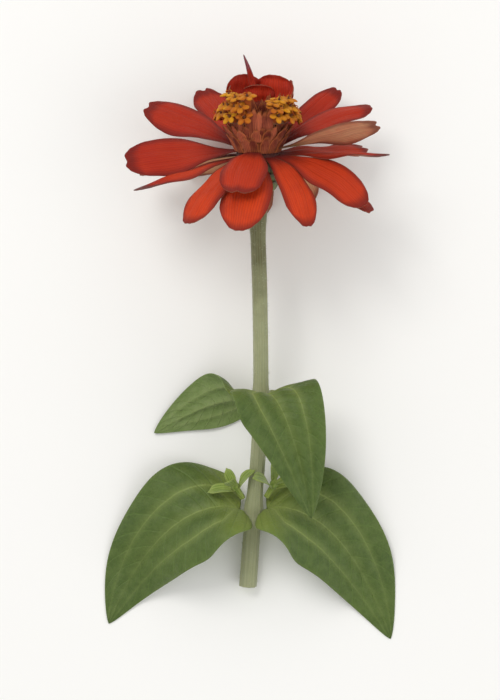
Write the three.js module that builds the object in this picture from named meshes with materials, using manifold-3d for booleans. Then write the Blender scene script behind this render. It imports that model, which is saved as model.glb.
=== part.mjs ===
// Zinnia flower as picked: one bloom on its stem, with two pairs of leaves and two young side shoots. It lies
// on a flat surface. Millimetres, +Z up. The surface is z = 0, the bloom lies towards +Y and the cut end of
// the stem towards -Y. The origin is on the surface, under the middle of the flower.
import * as THREE from "three";
import { mergeVertices } from "three/addons/utils/BufferGeometryUtils.js";
import Module from "manifold-3d";

const wasm = await Module();
wasm.setup();

const { degToRad, clamp } = THREE.MathUtils;
const { abs, cos, exp, log, max, min, sin, sqrt, PI } = Math;

// Driving dimensions
const BLOOM_RADIUS = 34; // axis to the tip of a level petal
const BLOOM_PLACE = new THREE.Vector3(2, 49.9, 24.6); // where its axis crosses the ring of petal roots
const BLOOM_LEAN = degToRad(12); // the axis rises this much above the surface
const CONE_RADIUS = 5.6; // receptacle cone, which carries all florets, at its foot
const CONE_TOP_RADIUS = 6.8;
const CONE_HEIGHT = 11.6;
const CONE_FOOT = -1.4;
const INVOLUCRE_DEPTH = 10.2; // green cup of bracts under the petals
const PETAL_THICKNESS = 0.6;
const LEAF_THICKNESS = 0.8;
const STEM_RADIUS = 2; // along the bare stem
const GAP = 0.3; // between pieces that touch
const SURFACE_BEND = 1.5; // how softly a petal or leaf bends where it meets the surface
const FLATTENED = 0.2; // how much of its thickness it gives up where it lies on the surface

const lowerNode = new THREE.Vector3(0.9, -41.5, 6.6); // where each leaf pair leaves the stem
const upperNode = new THREE.Vector3(2.8, -12.5, 13.2);

// Numbers

// A seeded draw of numbers from -1 to 1.
function drawer(seed) {
  let state = seed;
  return () => {
    state = (state * 16807) % 2147483647;
    return (2 * state) / 2147483647 - 1;
  };
}

// From 0 to 1, with a level start and end.
function smooth(x) {
  const c = clamp(x, 0, 1);
  return c * c * (3 - 2 * c);
}

// A height z where nothing is in the way becomes a height that never falls below the lowest.
function bentUp(z, lowest) {
  return lowest + SURFACE_BEND * log(1 + exp((z - lowest) / SURFACE_BEND));
}

// Radius at a height, straight from one [radius, height] point of a profile to the next.
function radiusAt(profile, height) {
  const next = profile.findIndex((point) => point[1] >= height);
  if (next === 0) return profile[0][0];
  if (next < 0) return profile.at(-1)[0];
  const [r0, h0] = profile[next - 1];
  const [r1, h1] = profile[next];
  return r0 + ((r1 - r0) * (height - h0)) / (h1 - h0);
}

function steps(count) {
  return Array.from({ length: count + 1 }, (_, i) => i / count);
}

function middleOf(ring) {
  return ring.reduce((sum, p) => sum.add(p), new THREE.Vector3()).divideScalar(ring.length);
}

// A ring of points round the Z axis, with the radius of each given by its angle.
function ringOf(count, height, radiusOf) {
  return Array.from({ length: count }, (_, j) => {
    const angle = (2 * PI * j) / count;
    return new THREE.Vector3(radiusOf(angle) * cos(angle), radiusOf(angle) * sin(angle), height);
  });
}

// Solids

function solidOf(vertProperties, triVerts) {
  return new wasm.Manifold(new wasm.Mesh({ numProp: 3, vertProperties, triVerts }));
}

function solidOfPoints(points, faces) {
  return solidOf(new Float32Array(points.flatMap((p) => p.toArray())), new Uint32Array(faces.flat()));
}

function joined(solids) {
  return wasm.Manifold.union(solids);
}

// A body lathed about the Z axis from [radius, height] points, lowest first.
function turned(profile, segments) {
  const outline = profile.map(([radius, height]) => new THREE.Vector2(radius, height));
  const geometry = new THREE.LatheGeometry(outline, segments).rotateX(PI / 2);
  geometry.deleteAttribute("normal");
  geometry.deleteAttribute("uv");
  const merged = mergeVertices(geometry);
  return solidOf(merged.attributes.position.array, new Uint32Array(merged.index.array));
}

// A closed body through rings of points, each anticlockwise as seen from the last ring's side.
function loft(rings, start = middleOf(rings[0]), end = middleOf(rings.at(-1))) {
  const count = rings[0].length;
  const points = [...rings.flat(), start, end];
  const first = points.length - 2;
  const last = points.length - 1;
  const top = first - count;
  const faces = [];
  for (let j = 0; j < count; j++) {
    const k = (j + 1) % count;
    for (let i = 0; i < top; i += count) {
      faces.push([i + j, i + k, i + count + k], [i + j, i + count + k, i + count + j]);
    }
    faces.push([first, k, j], [last, top + j, top + k]);
  }
  return solidOfPoints(points, faces);
}

// A thin curved blade: the surface pointAt(s, t), thickened both ways along its normal. s runs from root to
// tip and t from -1 to 1 across. settle moves each point of both faces, which keeps them above the surface.
function blade(pointAt, along, across, thickness, settle = (p) => p) {
  const reach = 0.004; // step in s or t over which the slopes are measured
  const upper = [];
  const lower = [];
  for (const s of along) {
    for (const t of across) {
      const centre = pointAt(s, t);
      const ahead = pointAt(min(1, s + reach), t).sub(pointAt(max(0, s - reach), t));
      const aside = pointAt(s, min(1, t + reach)).sub(pointAt(s, max(-1, t - reach)));
      const normal = ahead.cross(aside).setLength(thickness / 2);
      upper.push(settle(centre.clone().add(normal)));
      lower.push(settle(centre.clone().sub(normal)));
    }
  }
  const rows = along.length;
  const columns = across.length;
  const at = (i, j) => i * columns + j;
  const under = upper.length;
  const faces = [];
  for (let i = 0; i < rows - 1; i++) {
    for (let j = 0; j < columns - 1; j++) {
      const [a, b, c, d] = [at(i, j), at(i + 1, j), at(i + 1, j + 1), at(i, j + 1)];
      faces.push([a, b, c], [a, c, d]);
      faces.push([a + under, c + under, b + under], [a + under, d + under, c + under]);
    }
  }
  const rim = [];
  for (let i = 0; i < rows - 1; i++) rim.push(at(i, 0));
  for (let j = 0; j < columns - 1; j++) rim.push(at(rows - 1, j));
  for (let i = rows - 1; i > 0; i--) rim.push(at(i, columns - 1));
  for (let j = columns - 1; j > 0; j--) rim.push(at(0, j));
  rim.forEach((u, k) => {
    const v = rim[(k + 1) % rim.length];
    faces.push([v, u, u + under], [v, u + under, v + under]);
  });
  return solidOfPoints([...upper, ...lower], faces);
}

// Petals

const bladeSteps = {
  along: [0, 0.16, 0.34, 0.52, 0.7, 0.86, 1],
  across: [-1, -0.5, 0, 0.5, 1],
};
const claw = { share: 0.26, end: 0.58 }; // a petal's width at its root, and how far up it is at full width
const tipNarrowing = { from: 0.6, by: 0.16 };
const notchWidth = 0.2;

// A petal's middle surface. In the plan of the blade its end is a half ellipse, notched in the middle. Its
// middle line is an arc that starts at the angle rise and turns through bend. cup lifts both edges, ripple
// waves them, twist turns the blade about its middle line, sweep bends it sideways and taper narrows it.
function petalPoint(petal, s, t) {
  const rounding = petal.corner * (1 - sqrt(1 - 0.96 * t * t));
  const outline = 1 - rounding - petal.notch * exp(-((t / notchWidth) ** 2));
  const d = s * (1 - s * s * (1 - outline));
  const widened = claw.share + (1 - claw.share) * smooth(d / claw.end + 0.06);
  const narrowed = tipNarrowing.by * smooth((d - tipNarrowing.from) / (1 - tipNarrowing.from));
  const half = (petal.width / 2) * (widened - narrowed) * (1 - petal.taper * d);
  const wave = petal.ripple * sin(2 * PI * (1.6 * d + petal.phase) + t) * smooth(2 * d);
  const across = half * t;
  const lift = half * t * t * (petal.cup * smooth(1.6 * d) + wave);
  const turn = petal.twist * sin((PI / 2) * d);
  const side = across * cos(turn) - lift * sin(turn) + petal.sweep * petal.length * d * d;
  const up = across * sin(turn) + lift * cos(turn);
  const angle = petal.rise + petal.bend * d;
  const out = (petal.length * (sin(angle) - sin(petal.rise))) / petal.bend;
  const climb = (petal.length * (cos(petal.rise) - cos(angle))) / petal.bend;
  const radial = petal.root + out - up * sin(angle);
  return new THREE.Vector3(
    radial * cos(petal.turn) - side * sin(petal.turn),
    radial * sin(petal.turn) + side * cos(petal.turn),
    petal.height + climb + up * cos(angle),
  );
}

// The bloom has a frame of its own: +Z is the axis out of its face, +X is right and -Y is away from the
// surface.

const coneProfile = [
  [0, CONE_FOOT],
  [CONE_RADIUS, CONE_FOOT],
  [CONE_RADIUS, 2.5],
  [CONE_RADIUS + 0.7, 6],
  [CONE_TOP_RADIUS, 8],
  [CONE_TOP_RADIUS - 0.3, 10],
  [0, CONE_HEIGHT],
];
const coneSide = coneProfile.slice(1);

// Ray petals, each [turn, rise, bend, length, width, twist]: where it stands round the axis, its angle above
// level at the root, how far it curves from there to its tip, its length as a share of the way from the cone
// to BLOOM_RADIUS, its width in mm and how far its tip is turned about its middle line. Angles in degrees.
const outerPetals = [
  [262, -8, -46, 1, 13, 2],
  [303, -1, -72, 0.91, 9.2, 0],
  [332, 2, -48, 1, 10, 40],
  [339, -8, -34, 1.04, 9.6, 10],
  [358, 3, -4, 1.01, 9.6, -6],
  [31, 3, -6, 0.96, 10.4, 10],
  [63, -4, -58, 0.98, 11, -8],
  [94, -8, -76, 1, 10.6, 3],
  [127, -4, -28, 0.97, 11.2, 10],
  [160, -3, -18, 0.99, 10.4, -12],
  [199, -9, -12, 1, 10, 8],
  [232, -8, -44, 0.98, 10.8, 8],
];
const innerPetals = [
  [259, 3, -46, 0.78, 11.6, -4],
  [344, 17, -4, 0.98, 11, -36],
  [19, 35, -29, 0.98, 10, 20],
  [45, 26, 4, 0.97, 7.8, 28],
  [86, 28, 4, 0.96, 10.4, 8],
  [120, 25, 4, 0.97, 10.6, -10],
  [155, 25, -10, 0.98, 11.2, -36],
  [187, -1, -6, 1.03, 11.4, -56],
];
// The small young petals that stand in the middle, above the yellow florets. The last is a narrow pointed
// one, which also has its sweep and its taper.
const crownPetals = [
  [126, 60, 38, 0.37, 12.4, 8],
  [58, 60, 36, 0.35, 13, -8],
  [90, 68, 50, 0.26, 9, 4],
  [20, 48, 46, 0.34, 9, -12],
  [165, 54, 50, 0.28, 8.6, 12],
  [94, 80, 8, 0.53, 3.2, 0, 0.2, 0.8],
];
// height is where the roots are on the axis, sink how deep they reach into the cone, and jag how deep the
// notches and ripples are.
const whorls = [
  { petals: outerPetals, seed: 11, height: -0.3, sink: 2.2, cup: -0.2, jag: 1 },
  { petals: innerPetals, seed: 23, height: 1.2, sink: 1.3, cup: -0.1, jag: 1 },
  { petals: crownPetals, seed: 53, height: 9.2, sink: 0.9, cup: 0.1, jag: 0.4 },
];

function petalsOf(whorl) {
  const draw = drawer(whorl.seed);
  return whorl.petals.map(([turn, rise, bend, length, width, twist, sweep, taper = 0]) => ({
    root: radiusAt(coneSide, whorl.height) - whorl.sink,
    turn: degToRad(turn),
    rise: degToRad(rise),
    bend: degToRad(bend),
    twist: degToRad(twist),
    length: (BLOOM_RADIUS - CONE_RADIUS) * length + whorl.sink,
    width,
    height: whorl.height + 0.2 * draw(),
    cup: whorl.cup + 0.1 * draw(),
    sweep: sweep ?? 0.06 * draw(),
    taper,
    notch: (0.03 + 0.03 * draw()) * whorl.jag,
    corner: 0.27 + 0.05 * draw(),
    ripple: (0.1 + 0.05 * draw()) * whorl.jag,
    phase: draw(),
  }));
}

// The way up from the surface in the bloom's frame, and the height of a point of the bloom above the surface.
const skyward = new THREE.Vector3(0, -cos(BLOOM_LEAN), sin(BLOOM_LEAN));
const heightOf = (p) => BLOOM_PLACE.z + p.dot(skyward);

function petalSolid(petal) {
  const lowest = PETAL_THICKNESS / 2 - FLATTENED;
  const pointAt = (s, t) => {
    const p = petalPoint(petal, s, t);
    return p.addScaledVector(skyward, bentUp(heightOf(p), lowest) - heightOf(p));
  };
  const settle = (p) => p.addScaledVector(skyward, max(0, -heightOf(p)));
  return blade(pointAt, bladeSteps.along, bladeSteps.across, PETAL_THICKNESS, settle);
}

function rayFlorets() {
  return joined([turned(coneProfile, 20), ...whorls.flatMap(petalsOf).map(petalSolid)]);
}

// A ring that sits round the cone and carries what stands on it.
function carrier(low, height, width) {
  const inner = radiusAt(coneSide, low) + GAP;
  return turned(
    [
      [inner, low],
      [inner + 0.4 * width, low],
      [inner + width, low + 0.6 * height],
      [inner + 0.75 * width, low + height],
      [inner, low + height],
      [inner, low],
    ],
    20,
  );
}

// Stiff dark bracts that stand round the cone, above the petals and below the yellow florets.
const chaff = { rows: 2, count: 13, low: 3.7, ringHeight: 1, ringWidth: 1 };
const chaffBract = { length: 4.1, shorter: 0.6, width: 2.3, lean: degToRad(20), thickness: 0.7 };

function chaffyBracts() {
  const draw = drawer(71);
  const inner = radiusAt(coneSide, chaff.low) + GAP;
  const bracts = [];
  for (let row = 0; row < chaff.rows; row++) {
    for (let i = 0; i < chaff.count; i++) {
      const turn = (2 * PI * (i + row / 2)) / chaff.count + 0.08 * draw();
      const length = chaffBract.length - chaffBract.shorter * row + 0.5 * draw();
      const lean = chaffBract.lean + 0.14 * row + 0.05 * draw();
      const foot = inner + 0.5 + 0.4 * row;
      const section = (share, width, thickness) =>
        ringOf(4, 0, (angle) => (abs(cos(angle)) > 0.5 ? thickness : width) / 2).map(({ x, y }) => {
          const out = foot + share * length * sin(lean) + x;
          const up = chaff.low + 0.4 + share * length * cos(lean);
          return new THREE.Vector3(out * cos(turn) - y * sin(turn), out * sin(turn) + y * cos(turn), up);
        });
      bracts.push(
        loft([
          section(0, chaffBract.width, chaffBract.thickness),
          section(0.7, chaffBract.width, chaffBract.thickness),
          section(1, 0.3, 0.25),
        ]),
      );
    }
  }
  return joined([carrier(chaff.low, chaff.ringHeight, chaff.ringWidth), ...bracts]);
}

// Yellow disc florets: tubes with five spreading lobes, on a ring round the cone below the crown petals. One
// row leans out at the back, and in front they stand in two clusters of three rows each.
const disc = { low: 8.3, ringHeight: 1.5, ringWidth: 1.2 };
const discFloret = { tube: 0.9, foot: 0.6, lobe: 2.5, throat: 0.9, droop: 0.5 };
const discRows = [
  { count: 7, first: 16, last: 172, lean: 69, length: 3.5, up: 0.6 },
  { count: 3, first: 198, last: 250, lean: 54, length: 3.5, up: 0.6 },
  { count: 4, first: 206, last: 248, lean: 34, length: 5.1, up: 1 },
  { count: 3, first: 210, last: 252, lean: 13, length: 7, up: 1.2 },
  { count: 3, first: 298, last: 350, lean: 54, length: 3.5, up: 0.6 },
  { count: 4, first: 300, last: 340, lean: 34, length: 4.4, up: 1 },
  { count: 3, first: 294, last: 330, lean: 14, length: 5.4, up: 1.2 },
];

function discFloretSolid(row, turn, lean, length, spin) {
  const foot = new THREE.Vector3(radiusAt(coneSide, disc.low) + GAP + 0.45, 0, disc.low + row.up);
  const place = (p) =>
    p
      .applyAxisAngle(new THREE.Vector3(0, 0, 1), spin)
      .applyAxisAngle(new THREE.Vector3(0, 1, 0), lean)
      .add(foot)
      .applyAxisAngle(new THREE.Vector3(0, 0, 1), turn);
  const lobed = (angle) => (cos(5 * angle) > 0 ? discFloret.lobe : discFloret.tube + 0.1);
  const foothold = ringOf(10, 0, () => discFloret.foot).map(place);
  const throat = ringOf(10, 0.7 * length, () => discFloret.tube).map(place);
  const lobes = ringOf(10, length, lobed).map((p, j) => place(p.setZ(p.z - (j % 2) * discFloret.droop)));
  const centre = place(new THREE.Vector3(0, 0, length - discFloret.throat));
  return loft([foothold, throat, lobes], middleOf(foothold), centre);
}

function discFlorets() {
  const draw = drawer(97);
  const florets = discRows.flatMap((row) =>
    Array.from({ length: row.count }, (_, i) => {
      const turn = row.first + ((row.last - row.first) * i) / (row.count - 1) + 4 * draw();
      const lean = row.lean + 7 * draw();
      return discFloretSolid(row, degToRad(turn), degToRad(lean), row.length + 0.35 * draw(), PI * draw());
    }),
  );
  return joined([carrier(disc.low, disc.ringHeight, disc.ringWidth), ...florets]);
}

// The involucre: a bell of overlapping round-edged bracts. Each row is one bract thicker below its scalloped
// edge.
const bellProfile = [
  [2.9, -INVOLUCRE_DEPTH],
  [3.5, -INVOLUCRE_DEPTH + 1.2],
  [4.4, -INVOLUCRE_DEPTH + 3],
  [5.3, -INVOLUCRE_DEPTH + 5.6],
  [6, CONE_FOOT - GAP],
];
const bractRows = [
  { top: -7, count: 9, shift: 0 },
  { top: -4.8, count: 10, shift: 0.5 },
  { top: -2.4, count: 11, shift: 0.2 },
];
const bract = { thickness: 0.38, scallop: 1.8, edge: 0.9 };

function involucre() {
  const low = -INVOLUCRE_DEPTH;
  const high = CONE_FOOT - GAP;
  const covering = (angle, height) =>
    bractRows.reduce((sum, row) => {
      const scallop = bract.scallop * sin((row.count * angle) / 2 + PI * row.shift) ** 4;
      return sum + smooth((row.top - scallop - height) / bract.edge + 0.5);
    }, 0);
  const rings = steps(13).map((share) => {
    const height = low + share * (high - low);
    const relief = bract.thickness * smooth((height - low) / 1.5);
    return ringOf(44, height, (angle) => radiusAt(bellProfile, height) + relief * covering(angle, height));
  });
  return loft(rings);
}

// The stem. It swells at each leaf pair and under the bloom, and towards its cut end.
const bloomAxis = new THREE.Vector3(0, cos(BLOOM_LEAN), sin(BLOOM_LEAN));
const stemTop = BLOOM_PLACE.clone().addScaledVector(bloomAxis, -INVOLUCRE_DEPTH - GAP);
const stemPath = new THREE.CatmullRomCurve3(
  [
    new THREE.Vector3(-0.6, -61.5, 2.4),
    lowerNode,
    new THREE.Vector3(2.1, -27.5, 9.6),
    upperNode,
    new THREE.Vector3(2.6, 12.5, 18.2),
    stemTop.clone().addScaledVector(bloomAxis, -7),
    stemTop,
  ],
  false,
  "centripetal",
);
const swelling = { atNodes: 0.45, reach: 2.6, underBloom: 0.75, towardsCut: 0.35 };

function stemRadius(share, centre) {
  const toNode = min(centre.distanceTo(lowerNode), centre.distanceTo(upperNode));
  const atNode = swelling.atNodes * exp(-((toNode / swelling.reach) ** 2));
  const underBloom = swelling.underBloom * smooth((share - 0.88) / 0.12);
  return STEM_RADIUS + atNode + underBloom + swelling.towardsCut * smooth(1 - share / 0.35);
}

function stem() {
  const upwards = new THREE.Vector3(0, 0, 1);
  const rings = steps(26).map((share) => {
    const centre = stemPath.getPointAt(share);
    const ahead = share < 1 ? stemPath.getTangentAt(share) : bloomAxis;
    const right = new THREE.Vector3().crossVectors(ahead, upwards).normalize();
    const up = new THREE.Vector3().crossVectors(right, ahead);
    const radius = stemRadius(share, centre);
    return ringOf(12, 0, () => radius).map(({ x, y }) => {
      const point = centre.clone().addScaledVector(right, x).addScaledVector(up, -y);
      return point.setZ(max(0, point.z));
    });
  });
  return loft(rings);
}

// Leaves. Each has the path of its midrib from the middle of its node, the way its upper face looks at the
// root and at the tip, and its full width. The rear one lies under the stem with its lower face up.
const leaves = {
  leaf_lower_right: {
    node: lowerNode,
    path: [[3.3, 0.4, 0.4], [15, 3, 7], [28, -9, 0], [36, -34, -15]],
    faces: [[0, 0.75, 0.65], [0.25, 0.15, 1]],
    width: 28,
    waves: 0.1,
    phase: 0.2,
  },
  leaf_lower_left: {
    node: lowerNode,
    path: [[-3.3, 0.2, 0.4], [-14, 4, 7.5], [-29, -6, 0], [-38, -30, -15]],
    faces: [[0, 0.75, 0.65], [-0.3, 0.1, 1]],
    width: 29,
    waves: 0.09,
    phase: 0.65,
  },
  leaf_upper_front: {
    node: upperNode,
    path: [[0.8, 0.2, 3], [3, 5, 12], [9, -8, 15], [13, -31, 6]],
    faces: [[0, 1, 0.25], [0.1, -0.1, 1]],
    width: 23,
    waves: 0.08,
    phase: 0.1,
  },
  leaf_upper_rear: {
    node: upperNode,
    path: [[-1.3, 0.2, -2.4], [-4, 2, -9], [-14, 0, -12], [-28, -9, -14]],
    faces: [[0, 1, 0.1], [0.1, 0.3, -1]],
    width: 18,
    waves: 0.07,
    phase: 0.4,
  },
};
const leafSteps = {
  along: [0, 0.025, 0.08, 0.17, 0.28, 0.41, 0.55, 0.69, 0.82, 0.93, 1],
  across: [-1, -0.68, -0.34, 0, 0.34, 0.68, 1],
};
const ovate = { scale: 2.03, base: 0.36, tip: 0.8 }; // half width: s to the base by (1 - s) to the tip
const clasp = { share: 0.05, reach: 0.16 }; // how far the base lobes go back, as a share of the leaf's width
const leafFold = 0.3;
const edgeDroop = 0.16;

// A leaf's middle surface: an egg-shaped blade with a pointed end, folded a little along its midrib, with
// drooping and waved edges. Its base lobes go back round the stem.
function leafPoint(leaf, s, t) {
  const midrib = new THREE.CubicBezierCurve3(...leaf.path.map((p) => new THREE.Vector3(...p)));
  const [rootFace, tipFace] = leaf.faces.map((p) => new THREE.Vector3(...p).normalize());
  const ahead = midrib.getTangent(s);
  const aside = rootFace.lerp(tipFace, smooth(1.4 * s)).cross(ahead).normalize();
  const up = new THREE.Vector3().crossVectors(ahead, aside);
  const half = (leaf.width / 2) * ovate.scale * (s + 0.008) ** ovate.base * (1.0004 - s) ** ovate.tip;
  const fold = leafFold * (sqrt(t * t + 0.01) - 0.1);
  const wave = leaf.waves * t * t * sin(2 * PI * (2.3 * s + leaf.phase) + 2 * t);
  const back = clasp.share * leaf.width * t * t * exp(-((s / clasp.reach) ** 2));
  return midrib
    .getPoint(s)
    .addScaledVector(aside, half * t)
    .addScaledVector(up, half * (fold - edgeDroop * t ** 4 + wave))
    .addScaledVector(ahead, -back);
}

function leafSolid(leaf) {
  const surface = -leaf.node.z;
  const pointAt = (s, t) => {
    const p = leafPoint(leaf, s, t);
    return p.setZ(surface + bentUp(p.z - surface, LEAF_THICKNESS / 2 - FLATTENED));
  };
  const settle = (p) => p.setZ(max(p.z, surface));
  return blade(pointAt, leafSteps.along, leafSteps.across, LEAF_THICKNESS, settle);
}

// Young side shoots between the lower leaves and the stem: a short stalk, with two pairs of small leaves
// round a bud. foot is from the middle of the node.
const shoots = {
  side_shoot_right: { foot: [3.4, 3.4, 1.2], ahead: [0.6, 1, 0.7], seed: 131 },
  side_shoot_left: { foot: [-2.8, 3.1, 1.2], ahead: [-0.65, 1, 0.8], seed: 149 },
};
const shootStalk = 3.2;
const shootPairs = [
  { root: shootStalk - 0.3, rise: 48, bend: -46, length: 8 },
  { root: shootStalk + 0.7, rise: 66, bend: -20, length: 5.5 },
];

function shootSolid(shoot) {
  const draw = drawer(shoot.seed);
  const upwards = new THREE.Vector3(0, 0, 1);
  const ahead = new THREE.Vector3(...shoot.ahead).normalize();
  const lean = new THREE.Quaternion().setFromUnitVectors(upwards, ahead);
  const ringAt = (height, radius) => ringOf(8, height, () => radius).map((p) => p.applyQuaternion(lean));
  const bud = [ringAt(shootStalk, 0.75), ringAt(shootStalk + 1.2, 1.25), ringAt(shootStalk + 2.6, 0.7)];
  const leaflets = [0, 1, 2, 3].map((quarter) => {
    const pair = shootPairs[quarter % 2];
    const length = pair.length + draw();
    const leaflet = {
      root: 0.1,
      height: pair.root,
      turn: (PI / 2) * quarter + 0.4 + 0.2 * draw(),
      rise: degToRad(pair.rise),
      bend: degToRad(pair.bend),
      twist: 0.1 * draw(),
      length,
      width: length / 2,
      cup: 0.3,
      sweep: 0.05 * draw(),
      taper: 0,
      notch: -0.08,
      corner: 0.3,
      ripple: 0.03,
      phase: 0,
    };
    const pointAt = (s, t) => petalPoint(leaflet, s, t).applyQuaternion(lean);
    return blade(pointAt, steps(4), [-1, 0, 1], PETAL_THICKNESS);
  });
  return joined([loft([ringAt(0, 0.8), ...bud]), ...leaflets]);
}

// Assembly

function finish(color, roughness) {
  return new THREE.MeshStandardMaterial({ color, roughness, metalness: 0, flatShading: true });
}

const petalRed = finish(0xd0381e, 0.65);
const chaffMaroon = finish(0x5a1c18, 0.75);
const discYellow = finish(0xd69a1e, 0.7);
const bractGreen = finish(0x5c7037, 0.7);
const stemGreen = finish(0x748458, 0.65);
const leafGreen = finish(0x55703a, 0.6);
const shootGreen = finish(0x8ca55a, 0.6);

function meshOf(name, solid, material) {
  const { vertProperties, triVerts } = solid.getMesh();
  const geometry = new THREE.BufferGeometry();
  geometry.setAttribute("position", new THREE.BufferAttribute(vertProperties, 3));
  geometry.setIndex(new THREE.BufferAttribute(triVerts, 1));
  geometry.computeVertexNormals();
  const mesh = new THREE.Mesh(geometry, material);
  mesh.name = name;
  return mesh;
}

const flower = new THREE.Group();

const bloom = new THREE.Group();
bloom.position.copy(BLOOM_PLACE);
bloom.rotation.x = BLOOM_LEAN - PI / 2;
bloom.add(
  meshOf("ray_florets", rayFlorets(), petalRed),
  meshOf("chaffy_bracts", chaffyBracts(), chaffMaroon),
  meshOf("disc_florets", discFlorets(), discYellow),
  meshOf("involucre", involucre(), bractGreen),
);
flower.add(bloom);

flower.add(meshOf("stem", stem(), stemGreen));

for (const [name, leaf] of Object.entries(leaves)) {
  const mesh = meshOf(name, leafSolid(leaf), leafGreen);
  mesh.position.copy(leaf.node);
  flower.add(mesh);
}

for (const [name, shoot] of Object.entries(shoots)) {
  const mesh = meshOf(name, shootSolid(shoot), shootGreen);
  mesh.position.copy(lowerNode).add(new THREE.Vector3(...shoot.foot));
  flower.add(mesh);
}

export default flower;
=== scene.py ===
import math
import bpy
import numpy as np
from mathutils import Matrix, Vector


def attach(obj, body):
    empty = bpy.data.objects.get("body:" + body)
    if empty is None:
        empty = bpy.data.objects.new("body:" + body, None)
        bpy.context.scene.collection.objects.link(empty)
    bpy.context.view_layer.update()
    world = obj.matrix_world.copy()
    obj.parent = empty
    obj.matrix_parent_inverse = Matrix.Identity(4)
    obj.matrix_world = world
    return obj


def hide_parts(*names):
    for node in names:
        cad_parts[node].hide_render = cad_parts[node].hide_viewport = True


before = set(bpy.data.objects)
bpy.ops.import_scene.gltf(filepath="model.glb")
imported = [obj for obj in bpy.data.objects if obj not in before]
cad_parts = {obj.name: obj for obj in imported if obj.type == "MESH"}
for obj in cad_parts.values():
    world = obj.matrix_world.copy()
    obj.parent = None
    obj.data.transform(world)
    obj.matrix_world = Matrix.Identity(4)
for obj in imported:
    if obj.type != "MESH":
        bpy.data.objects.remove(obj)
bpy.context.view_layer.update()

# A zinnia flower as picked, lying on its side. Shapes are in millimetres, and meshes in metres.
metresPerMillimetre = 0.001

flower = {
    "bloomRadius": 34,               # axis to the tip of a level petal
    "bloomPlace": (2, 49.9, 24.6),   # where the bloom's axis crosses the ring of petal roots
    "bloomLean": math.radians(12),   # the axis rises this much above the surface
    "lowerNode": (0.9, -41.5, 6.6),  # where each leaf pair leaves the stem
    "upperNode": (2.8, -12.5, 13.2),
    "surfaceBend": 1.5,              # how softly a petal or leaf bends where it meets the surface
    "gap": 0.3,                      # between pieces that touch
}
bloomPlace = np.array(flower["bloomPlace"])
bloomAxis = np.array([0, math.cos(flower["bloomLean"]), math.sin(flower["bloomLean"])])
lowerNode = np.array(flower["lowerNode"])
upperNode = np.array(flower["upperNode"])


# Numbers

def drawer(seed):  # a seeded draw of numbers from -1 to 1, each the remainder of a multiple of the last
    factor = 16807
    modulus = 2147483647
    state = seed

    def draw():
        nonlocal state
        state = state * factor % modulus
        return 2 * state / modulus - 1

    return draw


def smooth(x):  # from 0 to 1 with a level start and end
    c = np.clip(x, 0, 1)
    return c * c * (3 - 2 * c)


def hump(x):  # 1 at 0, falling away to either side over about 1
    return np.exp(-x * x)


def unit(v):  # of length 1
    return v / np.maximum(np.linalg.norm(v, axis=-1, keepdims=True), 1e-12)


def roundAngles(count):  # angles evenly round a circle
    return np.arange(count) * 2 * math.pi / count


def aboutAxis(radius, angle, height):  # points at these distances and angles round +Z
    return np.stack(np.broadcast_arrays(radius * np.cos(angle), radius * np.sin(angle), height), -1)


def radiusAt(profile, height):  # straight from one [radius, height] point to the next
    profile = np.array(profile, float)
    return np.interp(height, profile[:, 1], profile[:, 0])


def turnedAbout(points, axis, angle):
    # What lies along the unit axis stays, and what stands out from it turns by the angle round it.
    axis = np.array(axis, float)
    along = (points @ axis)[..., None] * axis
    return points * np.cos(angle) + np.cross(axis, points) * np.sin(angle) + along * (1 - np.cos(angle))


def fromBloom(points):  # from the bloom's own frame, with +Z out of its face and -Y away from the surface
    return turnedAbout(points, (1, 0, 0), flower["bloomLean"] - math.pi / 2) + bloomPlace


def stood(points, foot, lean, turn):  # leaned outwards, put on a foot and turned round the bloom's axis
    points = turnedAbout(points, (0, 1, 0), lean) + np.array(foot)
    return fromBloom(turnedAbout(points, (0, 0, 1), turn))


def bentUp(points, lowest):  # a height that would go below the lowest one levels out softly above it
    bend = flower["surfaceBend"]
    z = lowest + bend * np.logaddexp(0, (points[..., 2] - lowest) / bend)
    return np.stack([points[..., 0], points[..., 1], z], -1)


# Meshes. A part is a dictionary with its points, its faces of four and of three corners, its place on the
# blade as two numbers for each point, a value for its tone, and the material slot of each face.
bladeMesh = {
    "crowding": 0.4,  # how much closer its columns are at both edges
    "reach": 0.003,   # the step in s and t over which its normal is measured
}


def gridFaces(rows, columns, closed=False):
    # The faces between points that are numbered row by row. closed joins the last column to the first.
    i = np.arange(rows - 1)[:, None] * columns
    j = np.arange(columns if closed else columns - 1)[None, :]
    k = (j + 1) % columns
    return np.stack([i + j, i + columns + j, i + columns + k, i + k], -1).reshape(-1, 4)


def partOf(points, quads, tris=None, place=None, tone=0.0, slots=0):  # what isn't given is 0 all over
    points = points.reshape(-1, 3)
    quads = np.array(quads, int).reshape(-1, 4)
    tris = np.zeros((0, 3), int) if tris is None else np.array(tris, int).reshape(-1, 3)
    return {
        "points": points,
        "quads": quads,
        "tris": tris,
        "place": np.zeros((len(points), 2)) if place is None else place.reshape(-1, 2),
        "tone": np.broadcast_to(tone, len(points)),
        "slots": np.broadcast_to(slots, len(quads) + len(tris)),
    }


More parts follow.
